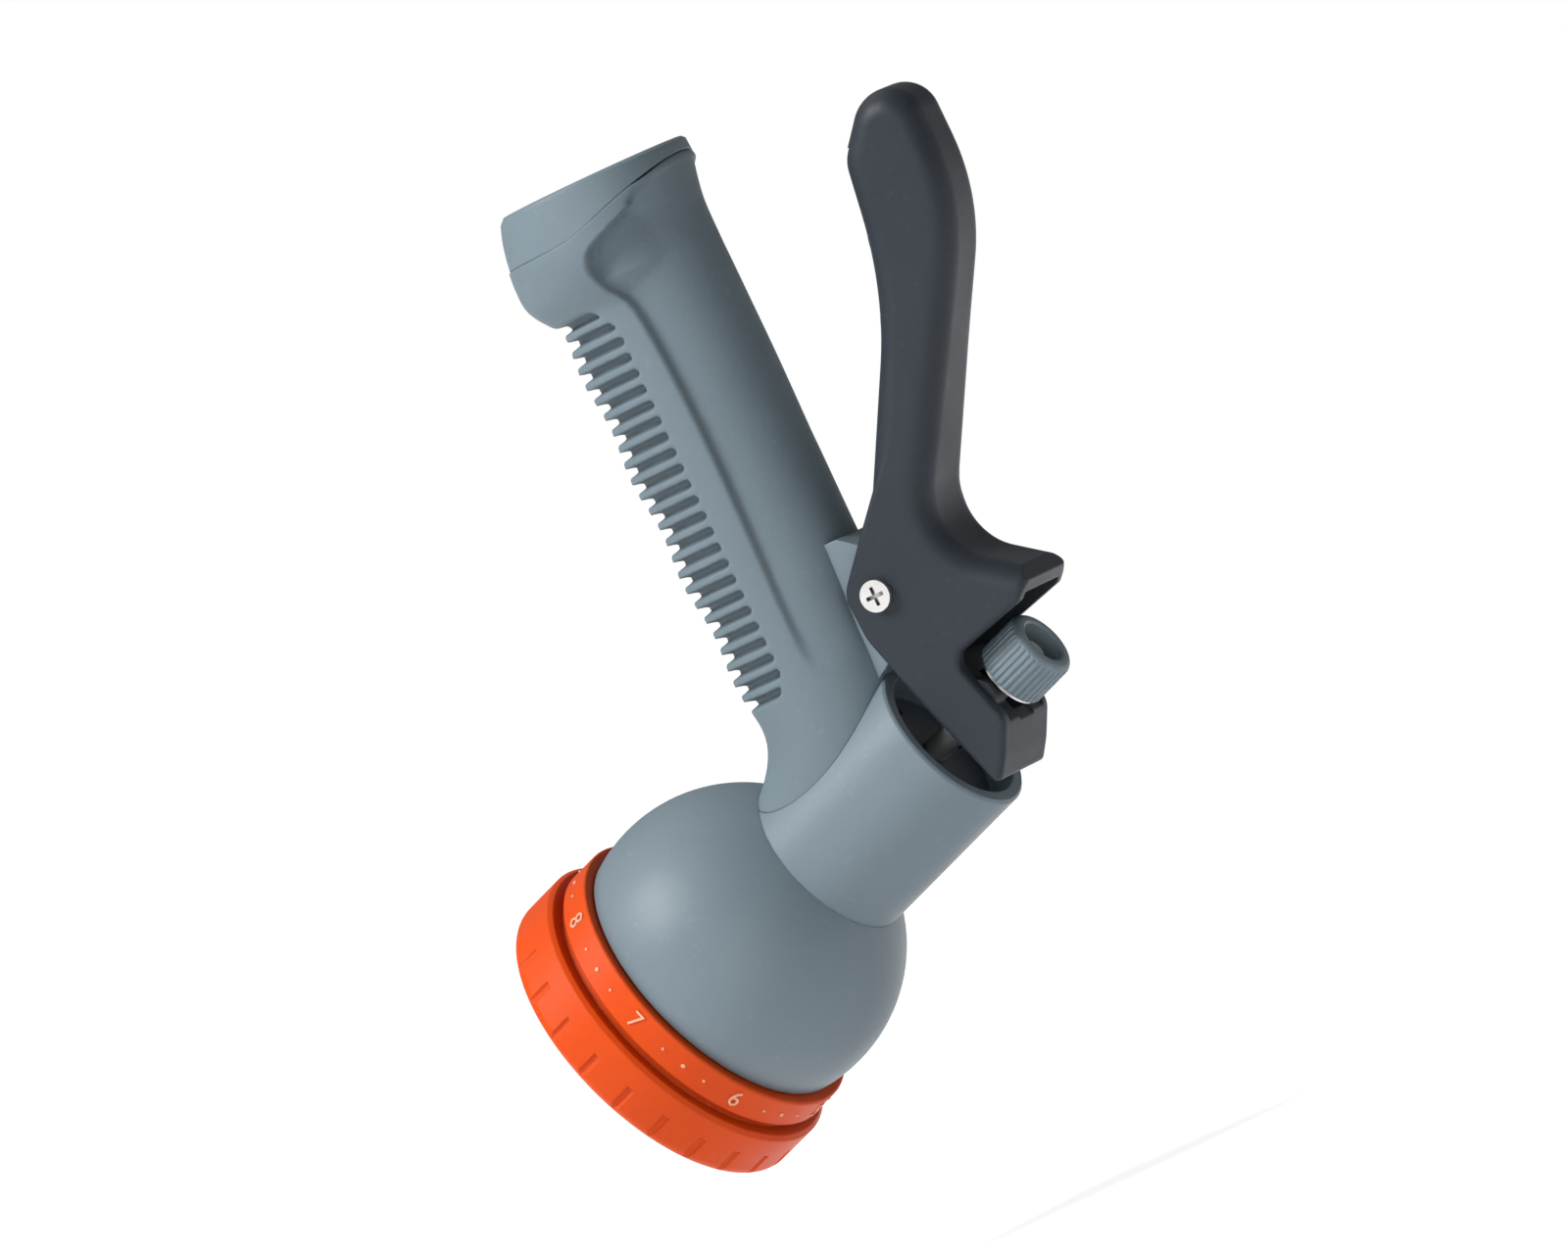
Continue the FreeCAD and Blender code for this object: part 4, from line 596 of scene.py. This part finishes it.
# The pale floor: metres below the part and across, its white, its own glow, and where that grows.
stageLook = {"floorDrop": 0.03, "size": 30.0, "white": 0.9, "glow": 0.75, "near": 0.05, "far": 0.28}
# How bright the surroundings are as light, as seen, and as mirrored.
worldLook = {"light": 0.075, "seen": 1.0, "mirrored": 0.3}
lamps = {                                  # side, up, towards the camera (metres), size, watts
    "key": (-1.25, 0.55, 0.45, 0.60, 21.0),
    "front": (-0.35, 0.10, 1.30, 0.80, 3.8),
    "rim": (-0.60, 0.85, -0.40, 0.60, 1.2),
    "low": (-0.80, -0.70, 0.40, 0.70, 2.0),
}


# Right, up and towards-the-camera directions in the part's frame, rolled about the line of sight.
def cameraAxes():
    azimuth, roll = math.radians(view["azimuth"]), math.radians(view["roll"])
    toCamera = Vector((math.sin(azimuth), -math.cos(azimuth), 0))
    level = Vector((math.cos(azimuth), math.sin(azimuth), 0))
    right = level * math.cos(roll) - Vector((0, 0, 1)) * math.sin(roll)
    up = level * math.sin(roll) + Vector((0, 0, 1)) * math.cos(roll)
    return right, up, toCamera


# World matrix with these axes at a place.
def facing(right, up, back, place):
    matrix = Matrix((right, up, back)).transposed().to_4x4()
    matrix.translation = place
    return matrix


# Two switches: 1 for a ray from the camera, and 1 for a ray from a mirror or through glass.
def seenRay(tree):
    path = add(tree, "ShaderNodeLightPath")
    glossy, through = path.outputs["Is Glossy Ray"], path.outputs["Is Transmission Ray"]
    return path.outputs["Is Camera Ray"], combine(tree, "MAXIMUM", glossy, through)


# Matt floor that still takes the shadow: for seen rays it also glows, by a little near the object
# and up to plain white further out, so that it runs into the background without a line. Seen from
# below it is clear.
def floorMaterial(name):
    material, tree, shader = newMaterial(name)
    shader.inputs["Base Color"].default_value = (stageLook["white"],) * 3 + (1,)
    shader.inputs["Roughness"].default_value = 0.95
    shader.inputs["Specular IOR Level"].default_value = 0.0
    place = add(tree, "ShaderNodeTexCoord")
    away = add(tree, "ShaderNodeVectorMath", operation="LENGTH")
    tree.links.new(place.outputs["Object"], away.inputs[0])
    far = ramp(tree, away.outputs["Value"], stageLook["near"], stageLook["far"])
    glow = combine(tree, "ADD", stageLook["glow"], combine(tree, "MULTIPLY", far, 1 - stageLook["glow"]))
    seen, mirrored = seenRay(tree)
    shader.inputs["Emission Color"].default_value = (1, 1, 1, 1)
    tree.links.new(combine(tree, "MULTIPLY", glow, combine(tree, "MAXIMUM", seen, mirrored)),
                   shader.inputs["Emission Strength"])
    side = add(tree, "ShaderNodeNewGeometry")
    under = combine(tree, "MULTIPLY", side.outputs["Backfacing"], seen)
    tree.links.new(combine(tree, "SUBTRACT", 1, under), shader.inputs["Alpha"])
    return material


# Camera, four soft lamps, the floor and a white surrounding, all placed from the part's own box.
def studio():
    low, high = (Vector(corner) for corner in cadBounds)
    middle = (low + high) / 2
    right, up, toCamera = cameraAxes()
    camera = bpy.data.objects.new("camera", bpy.data.cameras.new("camera"))
    bpy.context.scene.collection.objects.link(camera)
    camera.data.lens = view["lens"]
    camera.data.clip_start = 0.01
    camera.matrix_world = facing(right, up, toCamera, middle + toCamera * view["distance"])
    bpy.context.scene.camera = camera
    for name, (side, rise, near, size, watts) in lamps.items():
        lamp = bpy.data.lights.new(name, "AREA")
        lamp.size = size
        lamp.energy = watts
        holder = bpy.data.objects.new(name, lamp)
        bpy.context.scene.collection.objects.link(holder)
        place = middle + right * side + up * rise + toCamera * near
        back = (place - middle).normalized()
        holder.matrix_world = back.to_track_quat("Z", "Y").to_matrix().to_4x4()
        holder.location = place
    corners = np.array([[-1, -1, 0], [1, -1, 0], [1, 1, 0], [-1, 1, 0]]) * stageLook["size"] / mm / 2
    floor = meshPiece("floor", corners, [[0, 1, 2, 3]], floorMaterial("paleFloor"), False)
    floor.location = (middle.x, middle.y, low.z - stageLook["floorDrop"])
    world = bpy.data.worlds.new("studio")
    bpy.context.scene.world = world
    world.use_nodes = True
    tree = world.node_tree
    background = tree.nodes["Background"]
    seen, mirrored = seenRay(tree)
    level = combine(tree, "MAXIMUM", combine(tree, "MULTIPLY", seen, worldLook["seen"]),
                    combine(tree, "MULTIPLY", mirrored, worldLook["mirrored"]))
    tree.links.new(combine(tree, "MAXIMUM", level, worldLook["light"]), background.inputs["Strength"])
    background.inputs["Color"].default_value = (1, 1, 1, 1)


studio()
bpy.context.scene.view_settings.view_transform = "Standard"
print("stage ready")
